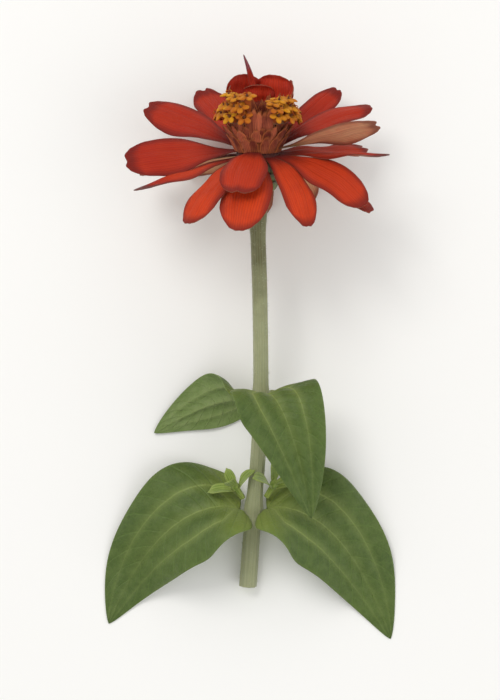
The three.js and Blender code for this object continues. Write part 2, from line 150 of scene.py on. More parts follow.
def blade(surface, rows, columns, thickness, tone=0.0):
    # The surface(s, t), moved half its thickness along its normal to both sides, with a rim between. s runs
    # from root to tip and t from -1 to 1 across, with steps that get shorter towards both edges. Slot 0 is
    # the upper face and slot 1 the lower face and the rim.
    reach = bladeMesh["reach"]
    crowding = bladeMesh["crowding"]
    even = np.linspace(-1, 1, columns)
    t = (1 - crowding) * even + crowding * np.sin(even * math.pi / 2)
    s, t = np.meshgrid(np.linspace(0, 1, rows), t, indexing="ij")
    ahead = surface(np.minimum(s + reach, 1), t) - surface(np.maximum(s - reach, 0), t)
    aside = surface(s, np.minimum(t + reach, 1)) - surface(s, np.maximum(t - reach, -1))
    offset = unit(np.cross(ahead, aside)) * (thickness(s, t) / 2)[..., None]
    middle = surface(s, t)
    points = np.concatenate([(middle + offset).reshape(-1, 3), (middle - offset).reshape(-1, 3)])
    points[:, 2] = np.maximum(points[:, 2], 0)
    face = gridFaces(rows, columns)
    number = np.arange(rows * columns).reshape(rows, columns)
    rim = np.concatenate([number[:-1, 0], number[-1, :-1], number[:0:-1, -1], number[0, :0:-1]])
    following = np.roll(rim, -1)
    under = rows * columns
    rimFaces = np.stack([following, rim, rim + under, following + under], -1)
    quads = np.concatenate([face, face[:, ::-1] + under, rimFaces])
    slots = np.concatenate([np.zeros(len(face), int), np.ones(len(face) + len(rimFaces), int)])
    place = np.stack([s, (t + 1) / 2], -1).reshape(-1, 2)
    return partOf(points, quads, place=np.concatenate([place, place]), tone=tone, slots=slots)


def tube(rings, tone=0.0, slots=0, start=None, end=None):
    # A closed body through rings of points, rows by columns, anticlockwise as seen from the last ring's side.
    # Its two ends are fans of triangles round start and end, or else round the middle of the end ring.
    rows, columns = rings.shape[:2]
    start = rings[0].mean(0) if start is None else start
    end = rings[-1].mean(0) if end is None else end
    points = np.concatenate([rings.reshape(-1, 3), [start], [end]])
    j = np.arange(columns)
    k = (j + 1) % columns
    last = (rows - 1) * columns
    quads = gridFaces(rows, columns, closed=True)[:, ::-1]
    foot = np.stack([np.full(columns, rows * columns), k, j], -1)
    head = np.stack([np.full(columns, rows * columns + 1), last + j, last + k], -1)
    share, turn = np.meshgrid(np.linspace(0, 1, rows), j / columns, indexing="ij")
    place = np.concatenate([np.stack([share, turn], -1).reshape(-1, 2), [[0, 0.5]], [[1, 0.5]]])
    return partOf(points, quads, np.concatenate([foot, head]), place, tone, slots)


def ringsAlong(path, radius, columns, ahead=None, reference=(0, 0, 1)):
    # A round section carried along a path of points. radius is one number for each point of the path, or one
    # for each point and column.
    ahead = unit(np.gradient(path, axis=0)) if ahead is None else ahead
    right = unit(np.cross(ahead, np.array(reference, float)))
    up = np.cross(right, ahead)
    angle = roundAngles(columns)
    if radius.ndim == 1:
        radius = radius[:, None]
    across = radius * np.cos(angle)
    along = radius * np.sin(angle)
    return path[:, None] + across[..., None] * right[:, None] - along[..., None] * up[:, None]


def turned(profile, columns, relief=None):
    # [radius, height] points turned about +Z, with relief(angle, height) added to the radius.
    angle = roundAngles(columns)
    radius = profile[:, :1] + np.zeros(columns)
    height = profile[:, 1:] + np.zeros(columns)
    if relief is not None:
        radius = radius + relief(angle, height)
    return aboutAxis(radius, angle, height)


def moved(part, change):  # the same part with its points changed
    return {**part, "points": change(part["points"])}


def addPiece(name, parts, materials, nodes):
    # One mesh of all the parts, in metres, with its blade places as a UV map and its tones as an attribute.
    # It rides on the only body and stands for the nodes.
    def joined(key):
        return np.concatenate([part[key] for part in parts])

    first = np.cumsum([0] + [len(part["points"]) for part in parts])
    quads = np.concatenate([part["quads"] + n for part, n in zip(parts, first)])
    tris = np.concatenate([part["tris"] + n for part, n in zip(parts, first)])
    slots = [part["slots"][: len(part["quads"])] for part in parts]
    slots += [part["slots"][len(part["quads"]):] for part in parts]
    points = joined("points") * metresPerMillimetre
    mesh = bpy.data.meshes.new(name)
    mesh.from_pydata(points.tolist(), [], quads.tolist() + tris.tolist())
    corners = np.empty(len(mesh.loops), int)
    mesh.loops.foreach_get("vertex_index", corners)
    place = joined("place")[corners].astype(np.float32)
    mesh.uv_layers.new(name="blade").data.foreach_set("uv", place.ravel())
    tone = joined("tone").astype(np.float32)
    mesh.attributes.new("tone", "FLOAT", "POINT").data.foreach_set("value", tone)
    mesh.polygons.foreach_set("material_index", np.concatenate(slots).astype(np.int32))
    mesh.polygons.foreach_set("use_smooth", np.ones(len(mesh.polygons), bool))
    for material in materials:
        mesh.materials.append(material)
    mesh.update()
    piece = bpy.data.objects.new(name, mesh)
    bpy.context.scene.collection.objects.link(piece)
    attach(piece, "root")
    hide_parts(*nodes)
    print(f"{name}: {2 * len(quads) + len(tris)} triangles")


# Shader helpers

def colour(red, green, blue):  # a colour on the usual 0 to 255 scale, as linear light
    share = np.array([red, green, blue]) / 255
    return (*np.where(share < 0.04045, share / 12.92, ((share + 0.055) / 1.055) ** 2.4).tolist(), 1.0)


def put(tree, kind, inputs, **settings):  # a node whose inputs are linked to a socket or set to a value
    node = tree.nodes.new(kind)
    for key, value in settings.items():
        setattr(node, key, value)
    for key, value in inputs.items():
        if isinstance(value, bpy.types.NodeSocket):
            tree.links.new(value, node.inputs[key])
        else:
            node.inputs[key].default_value = value
    return node


def placed(tree, group, inputs):  # a node group with its own values
    return put(tree, "ShaderNodeGroup", inputs, node_tree=group).outputs


def calc(tree, operation, *values):
    return put(tree, "ShaderNodeMath", dict(enumerate(values)), operation=operation).outputs[0]


def step(tree, value, low, high, start=0.0, end=1.0):  # a smooth step from start at low to end at high
    inputs = {"Value": value, "From Min": low, "From Max": high, "To Min": start, "To Max": end}
    return put(tree, "ShaderNodeMapRange", inputs, interpolation_type="SMOOTHSTEP").outputs["Result"]


def mixed(tree, share, first, second):  # from the first colour to the second
    return put(tree, "ShaderNodeMix", {0: share, 6: first, 7: second}, data_type="RGBA").outputs[2]


def noise(tree, position, scale, detail=2.0):
    inputs = {"Vector": position, "Scale": scale, "Detail": detail}
    return put(tree, "ShaderNodeTexNoise", inputs).outputs["Fac"]


def drifting(tree, position, scale, amount):  # a noise that swings by amount, half of it to either side of 0
    return calc(tree, "MULTIPLY_ADD", noise(tree, position, scale), amount, -amount / 2)


def newGroup(name, inputs, outputs):
    tree = bpy.data.node_groups.new(name, "ShaderNodeTree")
    for label, kind, value in inputs:
        socket = tree.interface.new_socket(label, in_out="INPUT", socket_type="NodeSocket" + kind)
        if value is not None:
            socket.default_value = value
    for label, kind in outputs:
        tree.interface.new_socket(label, in_out="OUTPUT", socket_type="NodeSocket" + kind)
    return tree, tree.nodes.new("NodeGroupInput").outputs, tree.nodes.new("NodeGroupOutput").inputs


# Shared effects

def makeBladeCoordinates():  # from the UV map: along from 0 to 1, across from -1 to 1, and aside from 0 to 1
    tree, given, result = newGroup(
        "bladeCoordinates",
        [("UV", "Vector", None)],
        [("Along", "Float"), ("Across", "Float"), ("Aside", "Float")],
    )
    split = put(tree, "ShaderNodeSeparateXYZ", {0: given["UV"]}).outputs
    across = calc(tree, "MULTIPLY_ADD", split["Y"], 2.0, -1.0)
    tree.links.new(split["X"], result["Along"])
    tree.links.new(across, result["Across"])
    tree.links.new(calc(tree, "ABSOLUTE", across), result["Aside"])
    return tree


def makeParallelVeins():  # thin lines that run along a blade, side by side, and waver a little
    tree, given, result = newGroup(
        "parallelVeins",
        [
            ("Across", "Float", 0.0),
            ("Position", "Vector", None),
            ("Count", "Float", 8.0),
            ("Waver", "Float", 0.3),
            ("Width", "Float", 0.2),
        ],
        [("Veins", "Float")],
    )
    wander = calc(tree, "MULTIPLY", drifting(tree, given["Position"], 180.0, 1.0), given["Waver"])
    line = calc(tree, "ADD", calc(tree, "MULTIPLY", given["Across"], given["Count"]), wander)
    distance = calc(tree, "PINGPONG", line, 0.5)
    tree.links.new(step(tree, distance, 0.0, given["Width"], 1.0, 0.0), result["Veins"])
    return tree


def makeMottle():  # patches of a second colour, large and small
    tree, given, result = newGroup(
        "mottle",
        [
            ("Color", "Color", None),
            ("Patch", "Color", None),
            ("Amount", "Float", 0.5),
            ("Scale", "Float", 200.0),
            ("Position", "Vector", None),
        ],
        [("Color", "Color")],
    )
    patches = step(tree, noise(tree, given["Position"], given["Scale"], 4.0), 0.35, 0.7)
    share = calc(tree, "MULTIPLY", patches, given["Amount"])
    tree.links.new(mixed(tree, share, given["Color"], given["Patch"]), result["Color"])
    return tree


def makeCells():  # the raised cells of a velvety skin, as a height from 0 to 1, and the lines between them
    tree, given, result = newGroup(
        "cells",
        [("Position", "Vector", None), ("Scale", "Float", 3000.0)],
        [("Height", "Float"), ("Edge", "Float")],
    )
    inputs = {"Vector": given["Position"], "Scale": given["Scale"]}
    away = put(tree, "ShaderNodeTexVoronoi", inputs, feature="DISTANCE_TO_EDGE").outputs["Distance"]
    tree.links.new(step(tree, away, 0.0, 0.35), result["Height"])
    tree.links.new(step(tree, away, 0.0, 0.09, 1.0, 0.0), result["Edge"])
    return tree


leafRibs = {
    "sideRib": 0.47,      # how far out the two side ribs run, as a share of the half width
    "sideRibFrom": 0.2,   # how far up they reach that far out
    "line": 0.055,        # half the width of a rib's line at the root
    "thinning": -0.035,   # and what is added to that by the tip
    "haze": 0.17,
    "wander": 0.12,
    "sideVeins": 11.0,    # on each half of the blade
    "slant": 2.1,
    "veinWidth": 0.09,
}


def makeLeafVeins():  # a midrib, two side ribs that follow the edges, and side veins that leave them slanting
    tree, given, result = newGroup(
        "leafVeins",
        [("Along", "Float", 0.0), ("Aside", "Float", 0.0), ("Position", "Vector", None)],
        [("Main", "Float"), ("Side", "Float")],
    )
    ribs = leafRibs
    along = given["Along"]
    wander = drifting(tree, given["Position"], 150.0, ribs["wander"])
    aside = calc(tree, "ADD", given["Aside"], calc(tree, "MULTIPLY", wander, 0.35))
    # A rib is a line that gets thinner and fainter towards the tip, with a wide pale haze on both sides.
    sideRib = calc(tree, "MULTIPLY", step(tree, along, 0.0, ribs["sideRibFrom"]), ribs["sideRib"])
    fromSideRib = calc(tree, "ABSOLUTE", calc(tree, "SUBTRACT", aside, sideRib))
    nearest = calc(tree, "MINIMUM", calc(tree, "MULTIPLY", given["Aside"], 0.75), fromSideRib)
    width = calc(tree, "MULTIPLY_ADD", along, ribs["thinning"], ribs["line"])
    line = step(tree, nearest, 0.0, width, 0.9, 0.0)
    haze = step(tree, nearest, 0.0, ribs["haze"], 0.45, 0.0)
    fading = step(tree, along, 0.1, 1.0, 1.0, 0.25)
    tree.links.new(calc(tree, "MULTIPLY", calc(tree, "MAXIMUM", line, haze), fading), result["Main"])
    inward = calc(tree, "MULTIPLY", along, ribs["sideVeins"])
    slanting = calc(tree, "MULTIPLY_ADD", aside, -ribs["slant"], inward)
    away = calc(tree, "PINGPONG", calc(tree, "ADD", slanting, calc(tree, "MULTIPLY", wander, 3.0)), 0.5)
    tree.links.new(step(tree, away, 0.0, ribs["veinWidth"], 1.0, 0.0), result["Side"])
    return tree


bladeCoordinates = makeBladeCoordinates()
parallelVeins = makeParallelVeins()
mottle = makeMottle()
cells = makeCells()
leafVeins = makeLeafVeins()


def newMaterial(name):
    # An empty material with its shader, its Object coordinates, its place on the blade and its tone.
    material = bpy.data.materials.new(name)
    material.use_nodes = True
    tree = material.node_tree
    shader = tree.nodes["Principled BSDF"]
    position = tree.nodes.new("ShaderNodeTexCoord").outputs["Object"]
    uv = put(tree, "ShaderNodeUVMap", {}, uv_map="blade").outputs["UV"]
    place = placed(tree, bladeCoordinates, {"UV": uv})
    tone = put(tree, "ShaderNodeAttribute", {}, attribute_name="tone").outputs["Fac"]
    return material, tree, shader, position, place, tone


def patched(tree, position, skin, patch, amount, scale):  # skin with patches of another colour
    inputs = {"Color": skin, "Patch": patch, "Amount": amount, "Scale": scale, "Position": position}
    return placed(tree, mottle, inputs)["Color"]


def lined(tree, position, place, count, waver, width):  # a mask of lines that run along the blade
    inputs = {"Across": place["Across"], "Position": position, "Count": count, "Waver": waver, "Width": width}
    return placed(tree, parallelVeins, inputs)["Veins"]


def tinted(tree, mask, depth, skin, tint):  # skin that goes towards tint by depth where the mask is 1
    return mixed(tree, calc(tree, "MULTIPLY", mask, depth), skin, tint)


def edged(tree, aside, ending, endFrom, skin, look):  # skin with the edge's colour along its sides and end
    side = step(tree, aside, 0.6, 1.0, 0.0, look["edgeDepth"])
    end = step(tree, ending, endFrom, 1.0, 0.0, look["edgeDepth"])
    return mixed(tree, calc(tree, "MAXIMUM", side, end), skin, look["edge"])


def raised(tree, effect, amount, height):  # height with an effect added, in millimetres where it is 1
    return calc(tree, "MULTIPLY_ADD", effect, amount, height)


def setShader(tree, shader, base, height, **values):
    # The colour, the relief in millimetres and the values that are the same all over.
    tree.links.new(base, shader.inputs["Base Color"])
    bump = put(tree, "ShaderNodeBump", {"Height": height, "Strength": 1.0, "Distance": metresPerMillimetre})
    tree.links.new(bump.outputs["Normal"], shader.inputs["Normal"])
    for key, value in values.items():
        shader.inputs[key.replace("_", " ")].default_value = value


petalSkin = {
    "driftScale": 60.0, "drift": 0.5, "patchScale": 230.0, "veinWaver": 0.5, "veinWidth": 0.3, "endFrom": 0.9,
    "dryScale": 380.0, "dryNoise": 0.9, "dryTone": -0.6, "freshTone": 0.1,
    "velvetScale": 5200.0, "velvetHeight": 0.02, "unevenScale": 700.0, "unevenHeight": 0.07,
}


def petalMaterial(name, look):
    # From a cool colour to a warm one by tone, which carries painted light: the sunlit petals on the side
    # away from the surface are painted warmer and lighter. Then a dark claw, darker edge and veins, patches,
    # and a velvety skin.
    # On the faces of the outer and inner petals the dark claw is partly their own deeper colour and partly
    # painted shade near the cone. On all the faces the darker edge is painted shade along the curled margins,
    # and on the backs it is a reddish flush. Where tone falls below 0 the petal is withered.
    material, tree, shader, position, place, tone = newMaterial(name)
    finish = petalSkin
    warmthAndLight = calc(tree, "ADD", tone, drifting(tree, position, finish["driftScale"], finish["drift"]))
    share = calc(tree, "MINIMUM", calc(tree, "MAXIMUM", warmthAndLight, 0.0), 1.0)
    skin = mixed(tree, share, look["young"], look["warmLit"])
    skin = patched(tree, position, skin, look["patch"], look["patches"], finish["patchScale"])
    veins = lined(tree, position, place, look["veins"], finish["veinWaver"], finish["veinWidth"])
    skin = tinted(tree, veins, look["veinDepth"], skin, look["vein"])
    claw = step(tree, place["Along"], look["clawFrom"], look["clawTo"], 1.0, 0.0)
    skin = mixed(tree, claw, skin, look["claw"])
    # A cooler, less lit petal is dark further in from its end; on the faces that dark end is painted shade.
    coolAndUnlit = calc(tree, "SUBTRACT", 1.0, warmthAndLight)
    ending = calc(tree, "MULTIPLY_ADD", coolAndUnlit, look["endReach"], place["Along"])
    skin = edged(tree, place["Aside"], ending, finish["endFrom"], skin, look)
    drying = calc(tree, "MULTIPLY_ADD", noise(tree, position, finish["dryScale"]), finish["dryNoise"], tone)
    dry = step(tree, drying, finish["dryTone"], finish["freshTone"], 1.0, 0.0)
    skin = mixed(tree, dry, skin, look["withered"])
    velvet = placed(tree, cells, {"Position": position, "Scale": finish["velvetScale"]})["Height"]
    height = calc(tree, "MULTIPLY", velvet, finish["velvetHeight"])
    height = raised(tree, veins, look["veinHeight"], height)
    height = raised(tree, noise(tree, position, finish["unevenScale"]), finish["unevenHeight"], height)
    setShader(
        tree, shader, skin, height,
        Roughness=look["roughness"],
        Specular_IOR_Level=look["gloss"],
        Sheen_Weight=look["sheen"],
        Sheen_Roughness=0.5,
        Sheen_Tint=look["sheenTint"],
        Subsurface_Weight=0.12,
        Subsurface_Radius=(0.0012, 0.0004, 0.0002),
        Subsurface_Scale=1.0,
    )
    return material


petalFace = petalMaterial(
    "petalFace",
    {
        "young": colour(164, 36, 16), "warmLit": colour(206, 64, 18), "withered": colour(96, 50, 48),
        "patch": colour(176, 50, 18), "patches": 0.45,
        "veins": 9.0, "vein": colour(140, 18, 20), "veinDepth": 0.28, "veinHeight": -0.05,
        # The dark claw is partly the petal's own deeper colour and partly painted shade near the cone.
        "claw": colour(98, 22, 22), "clawFrom": 0.04, "clawTo": 0.42,
        # The darker edge is painted shade along the curled margins.
        "edge": colour(104, 24, 20), "edgeDepth": 0.8, "endReach": 0.05,
        "roughness": 0.6, "gloss": 0.2, "sheen": 0.03, "sheenTint": colour(255, 150, 110),
    },
)
petalBack = petalMaterial(
    "petalBack",
    {
        "young": colour(204, 148, 112), "warmLit": colour(212, 160, 114), "withered": colour(104, 66, 60),
        "patch": colour(196, 116, 84), "patches": 0.6,
        "veins": 9.0, "vein": colour(140, 88, 62), "veinDepth": 0.35, "veinHeight": 0.06,
        "claw": colour(112, 108, 58), "clawFrom": 0.05, "clawTo": 0.4,
        "edge": colour(104, 44, 34), "edgeDepth": 0.75, "endReach": 0.04,
        "roughness": 0.66, "gloss": 0.25, "sheen": 0.08, "sheenTint": colour(240, 200, 180),
    },
)
crownFace = petalMaterial(
    "crownFace",
    {
        "young": colour(186, 44, 22), "warmLit": colour(206, 66, 26), "withered": colour(162, 84, 92),
        "patch": colour(156, 34, 20), "patches": 0.45,
        "veins": 8.0, "vein": colour(118, 14, 20), "veinDepth": 0.3, "veinHeight": -0.05,
        "claw": colour(150, 70, 26), "clawFrom": 0.02, "clawTo": 0.25,
        # The darker edge is painted shade along the curled margins.
        "edge": colour(104, 20, 18), "edgeDepth": 0.45, "endReach": 0.03,
        "roughness": 0.58, "gloss": 0.2, "sheen": 0.05, "sheenTint": colour(255, 150, 130),
    },
)

plainSkin = {
    "driftScale": 300.0, "drift": 0.3, "grooveWaver": 0.4, "grooveWidth": 0.4, "endFrom": 0.75,
    "unevenScale": 900.0, "unevenHeight": 0.05,
    "gloss": 0.4, "sheen": 0.15,  # where the look gives none
}


def plainMaterial(name, look):
    # A base colour that turns into a second one along the piece, with patches and raised cells. Where the
    # look gives them, it takes on the patches' colour by tone, and has fine grooves and an edge of its own
    # colour.
    material, tree, shader, position, place, tone = newMaterial(name)
    finish = plainSkin
    drift = drifting(tree, position, finish["driftScale"], finish["drift"])
    turning = calc(tree, "ADD", place["Along"], drift)
    skin = mixed(tree, step(tree, turning, look["from"], look["to"]), look["foot"], look["head"])
    if "toneDepth" in look:
        skin = tinted(tree, tone, look["toneDepth"], skin, look["patch"])
    skin = patched(tree, position, skin, look["patch"], look["patches"], look["patchScale"])
    skinCells = placed(tree, cells, {"Position": position, "Scale": look["cellScale"]})["Height"]
    height = calc(tree, "MULTIPLY", skinCells, look["cellHeight"])
    if "grooves" in look:
        grooves = lined(tree, position, place, look["grooves"], finish["grooveWaver"], finish["grooveWidth"])
        skin = tinted(tree, grooves, look["grooveDepth"], skin, look["groove"])
        height = raised(tree, grooves, look["grooveHeight"], height)
    if "edge" in look:
        skin = edged(tree, place["Aside"], place["Along"], finish["endFrom"], skin, look)
    height = raised(tree, noise(tree, position, finish["unevenScale"]), finish["unevenHeight"], height)
    setShader(
        tree, shader, skin, height,
        Roughness=look["roughness"],
        Specular_IOR_Level=look.get("gloss", finish["gloss"]),
        Sheen_Weight=look.get("sheen", finish["sheen"]),
        Sheen_Roughness=0.5,
        Subsurface_Weight=0.08,
        Subsurface_Radius=(0.0008, 0.0006, 0.0002),
        Subsurface_Scale=1.0,
    )
    return material


# Petals. The middle surface of each is as in the solids, with fine ribs and a finely scalloped end.

petalShape = {
    "clawShare": 0.26,     # its width at the root
    "clawStart": 0.06,     # how much of the widening is done there
    "clawEnd": 0.58,       # how far up it is at full width
    "narrowFrom": 0.6,
    "narrowBy": 0.16,
    "notchWidth": 0.2,
    "scallops": 6,         # half waves across the end
    "scallop": 0.005,
    "ribs": 4.5,           # from the middle to an edge
    "ribHeight": 0.07,
    "grooves": 0.34,       # how far from the middle the two deeper grooves are
    "grooveWidth": 0.09,
    "grooveDepth": 0.16,
    "dent": 0.26,          # how far the skin rises and sinks in long waves
    "dents": (1.9, 2.4),   # how fast one wave goes along, in turns, and across, in radians
    "crossDents": (5, 3.1),  # and the other, both in radians
    "ripples": 1.6,        # waves along an edge
    "slim": 5,             # a petal that is narrower has less relief
    "slimRelief": 0.3,
    "thickness": 0.42,
    "edge": 0.14,          # its thickness at the edges
    "endThinning": 0.6,
    "dryReach": 0.36,      # the share of the length over which it dries out
    "rows": 58,
    "columns": 31,
}


def petalSurface(petal, s, t):
    # In the plan of the blade its end is a half ellipse, notched in the middle. Its middle line is an arc
    # that starts at the angle rise and turns through bend. cup lifts both edges, ripple waves them, twist
    # turns the blade about its middle line, sweep bends it sideways and taper narrows it to a point. Ribs,
    # two grooves and two long waves that cross are its relief.
    shape = petalShape
    phase = petal["phase"]
    relief = petal["relief"]
    outline = 1 - petal["corner"] * (1 - np.sqrt(1 - 0.96 * t * t))
    outline = outline - petal["notch"] * hump(t / shape["notchWidth"])
    scallops = 0.5 + 0.5 * np.cos(shape["scallops"] * math.pi * t + shape["scallops"] * phase)
    outline = outline - relief * shape["scallop"] * scallops
    d = s * (1 - s * s * (1 - outline))
    opened = smooth(d / shape["clawEnd"] + shape["clawStart"])
    widened = shape["clawShare"] + (1 - shape["clawShare"]) * opened
    narrowed = shape["narrowBy"] * smooth((d - shape["narrowFrom"]) / (1 - shape["narrowFrom"]))
    half = petal["width"] / 2 * (widened - narrowed) * (1 - petal["taper"] * d)
    wave = petal["ripple"] * np.sin(2 * math.pi * (shape["ripples"] * d + phase) + t) * smooth(2 * d)
    across = half * t
    lift = half * t * t * (petal["cup"] * smooth(1.6 * d) + wave)
    ribbed = shape["ribHeight"] * np.cos(2 * math.pi * shape["ribs"] * t) * (1 - t**2)
    grooved = shape["grooveDepth"] * hump((np.abs(t) - shape["grooves"]) / shape["grooveWidth"])
    dented = shape["dent"] * np.sin(2 * math.pi * (shape["dents"][0] * d + 2 * phase) + shape["dents"][1] * t)
    dented = dented * np.cos(shape["crossDents"][1] * t - shape["crossDents"][0] * d)
    lift = lift + relief * (ribbed - grooved + dented) * smooth(3 * d) * smooth(6 * (1.02 - d))
    turn = petal["twist"] * np.sin(math.pi / 2 * d)
    side = across * np.cos(turn) - lift * np.sin(turn) + petal["sweep"] * petal["length"] * d * d
    up = across * np.sin(turn) + lift * np.cos(turn)
    angle = petal["rise"] + petal["bend"] * d
    out = petal["length"] * (np.sin(angle) - math.sin(petal["rise"])) / petal["bend"]
    climb = petal["length"] * (math.cos(petal["rise"]) - np.cos(angle)) / petal["bend"]
    radial = petal["root"] + out - up * np.sin(angle)
    sine = math.sin(petal["turn"])
    cosine = math.cos(petal["turn"])
    x = radial * cosine - side * sine
    y = radial * sine + side * cosine
    return np.stack([x, y, petal["height"] + climb + up * np.cos(angle)], -1)


cone = {
    "radius": 5.6, "topRadius": 6.8, "height": 11.6, "foot": -1.4,
    "scarDepth": 0.18, "scarHeight": 1.1, "scarsAround": 21, "rows": 60, "columns": 90,
}
coneSide = [
    (cone["radius"], cone["foot"]),
    (cone["radius"], 2.5),
    (cone["radius"] + 0.7, 6),
    (cone["topRadius"], 8),
    (cone["topRadius"] - 0.3, 10),
    (0, cone["height"]),
]

# Each petal is [turn, rise, bend, length, width, twist]: where it stands round the axis, its angle above
# level at the root, how far it curves, its length as a share of the way from the cone to the bloom's radius,
# its width in mm and how far its tip is turned. Angles are in degrees. The last one of the crown also has a
# sweep and a taper.
outerPetals = [
    [262, -8, -46, 1, 13, 2],
    [303, -1, -72, 0.91, 9.2, 0],
    [332, 2, -48, 1, 10, 40],
    [339, -8, -34, 1.04, 9.6, 10],
    [358, 3, -4, 1.01, 9.6, -6],
    [31, 3, -6, 0.96, 10.4, 10],
    [63, -4, -58, 0.98, 11, -8],
    [94, -8, -76, 1, 10.6, 3],
    [127, -4, -28, 0.97, 11.2, 10],
    [160, -3, -18, 0.99, 10.4, -12],
    [199, -9, -12, 1, 10, 8],
    [232, -8, -44, 0.98, 10.8, 8],
]
innerPetals = [
    [259, 3, -46, 0.78, 11.6, -4],
    [344, 17, -4, 0.98, 11, -36],
    [19, 35, -29, 0.98, 10, 20],
    [45, 26, 4, 0.97, 7.8, 28],
    [86, 28, 4, 0.96, 10.4, 8],
    [120, 25, 4, 0.97, 10.6, -10],
    [155, 25, -10, 0.98, 11.2, -36],
    [187, -1, -6, 1.03, 11.4, -56],
]
crownPetals = [
    [126, 60, 38, 0.37, 12.4, 8],
    [58, 60, 36, 0.35, 13, -8],
    [90, 68, 50, 0.26, 9, 4],
    [20, 48, 46, 0.34, 9, -12],
    [165, 54, 50, 0.28, 8.6, 12],
    [94, 80, 8, 0.53, 3.2, 0, 0.2, 0.8],
]
# warm is how orange a petal is, and sunlit how much more on the side away from the surface. withered gives,
# for the petals at some turns, the share of the length from which the tip is dry.
whorls = {
    "petalsOuter": {
        "petals": outerPetals, "seed": 11, "height": -0.3, "sink": 2.2, "cup": -0.2, "jag": 1,
        "face": petalFace, "warm": 0.45, "sunlit": 0.5, "withered": {199: 0.64, 358: 0.68},
    },
    "petalsInner": {
        "petals": innerPetals, "seed": 23, "height": 1.2, "sink": 1.3, "cup": -0.1, "jag": 1,
        "face": petalFace, "warm": 0.15, "sunlit": 0.35, "withered": {},
    },
    "petalsCrown": {
        "petals": crownPetals, "seed": 53, "height": 9.2, "sink": 0.9, "cup": 0.1, "jag": 0.4,
        "face": crownFace, "warm": 0.2, "sunlit": 0.2, "withered": {94: 0.5},
    },
}


def petalsOf(whorl):
    draw = drawer(whorl["seed"])
    petals = []
    for turn, rise, bend, length, width, twist, *drawnOut in whorl["petals"]:
        petals.append({
            "root": radiusAt(coneSide, whorl["height"]) - whorl["sink"],
            "turn": math.radians(turn),
            "rise": math.radians(rise),
            "bend": math.radians(bend),
            "twist": math.radians(twist),
            "length": (flower["bloomRadius"] - cone["radius"]) * length + whorl["sink"],
            "width": width,
            "relief": 1.0 if width > petalShape["slim"] else petalShape["slimRelief"],
            "height": whorl["height"] + 0.2 * draw(),
            "cup": whorl["cup"] + 0.1 * draw(),
            "sweep": drawnOut[0] if drawnOut else 0.06 * draw(),
            "taper": drawnOut[1] if drawnOut else 0,
            "notch": (0.03 + 0.03 * draw()) * whorl["jag"],
            "corner": 0.27 + 0.05 * draw(),
            "ripple": (0.1 + 0.05 * draw()) * whorl["jag"],
            "phase": draw(),
            # The sunlit share is painted light: it makes the petals on the side away from the surface warmer
            # and lighter.
            "warmth": whorl["warm"] + whorl["sunlit"] * max(0, -math.sin(math.radians(turn))),
            "dryFrom": whorl["withered"].get(turn, 1),
        })
    return petals


def petalThickness(s, t):  # thickest at the claw, thin at both edges and the end
    size = petalShape
    middle = size["thickness"] - size["edge"]
    return size["edge"] + middle * (1 - np.abs(t) ** 3) * (1 - size["endThinning"] * s**4)


def petalTone(petal):  # its warmth, which falls to -1 where the tip is withered
    s = np.linspace(0, 1, petalShape["rows"])
    dry = smooth((s - petal["dryFrom"]) / petalShape["dryReach"])
    tone = petal["warmth"] - (petal["warmth"] + 1) * dry
    return np.tile(np.repeat(tone, petalShape["columns"]), 2)


def petalPart(petal):
    def surface(s, t):
        return bentUp(fromBloom(petalSurface(petal, s, t)), petalShape["edge"] / 2)

    return blade(surface, petalShape["rows"], petalShape["columns"], petalThickness, petalTone(petal))


for name, whorl in whorls.items():
    parts = [petalPart(petal) for petal in petalsOf(whorl)]
    addPiece(name, parts, [whorl["face"], petalBack], ["ray_florets"])


# The receptacle cone, covered with the low scars of florets.
coneSkin = plainMaterial(
    "coneSkin",
    {
        "foot": colour(80, 56, 34), "head": colour(84, 28, 20), "from": 0.0, "to": 0.14,
        "patch": colour(70, 30, 24), "patches": 0.6, "patchScale": 500.0,
        "cellScale": 2500.0, "cellHeight": 0.08, "roughness": 0.75,
    },
)


def scars(angle, height):  # rows of low scars that step round the cone like fish scales
    row = height / cone["scarHeight"]
    around = np.cos(cone["scarsAround"] * angle + math.pi * np.floor(row))
    return cone["scarDepth"] * around * np.sin(math.pi * (row % 1)) - cone["scarDepth"]


def conePart():  # the cone's side profile turned about the axis
    height = np.linspace(cone["foot"], cone["height"] - 0.05, cone["rows"])
    profile = np.stack([radiusAt(coneSide, height), height], -1)
    return tube(turned(profile, cone["columns"], scars), end=np.array([0, 0, cone["height"]]))


addPiece("cone", [moved(conePart(), fromBloom)], [coneSkin], ["ray_florets"])


# Pales: stiff dark bracts round the cone, channelled, pointed and fringed at the end.
pale = {
    "width": 2.5, "thickness": 0.3,
    "channel": 0.5 / 1.2,       # its depth, as a share of the half width
    "bow": 0.5 * math.sin(1),   # how far its tip bends outwards
    "fringe": 0.16, "teeth": 5, "rows": 26, "columns": 17,
}
# Two rows stand on a ring. A key with Step is what the second row has more than the first.
chaff = {
    "count": 13, "low": 3.7, "ringHeight": 1, "ringWidth": 0.8,
    "length": 4.6, "lengthStep": -0.6, "lean": math.radians(20), "leanStep": 0.14, "out": 0.5, "outStep": 0.4,
}
# More rows clothe the cone below them, between the petals' claws, and above them, among the florets.
paleRows = [
    {"count": 15, "low": 0.6, "length": 5, "lean": math.radians(24), "out": 0.2},
    {"count": 15, "low": 1.8, "length": 5.6, "lean": math.radians(19), "out": 0.4},
    {"count": 17, "low": 4.8, "length": 7.6, "lean": math.radians(10), "out": 0.6},
    {"count": 15, "low": 8.6, "length": 6.2, "lean": math.radians(4), "out": -0.6},
]
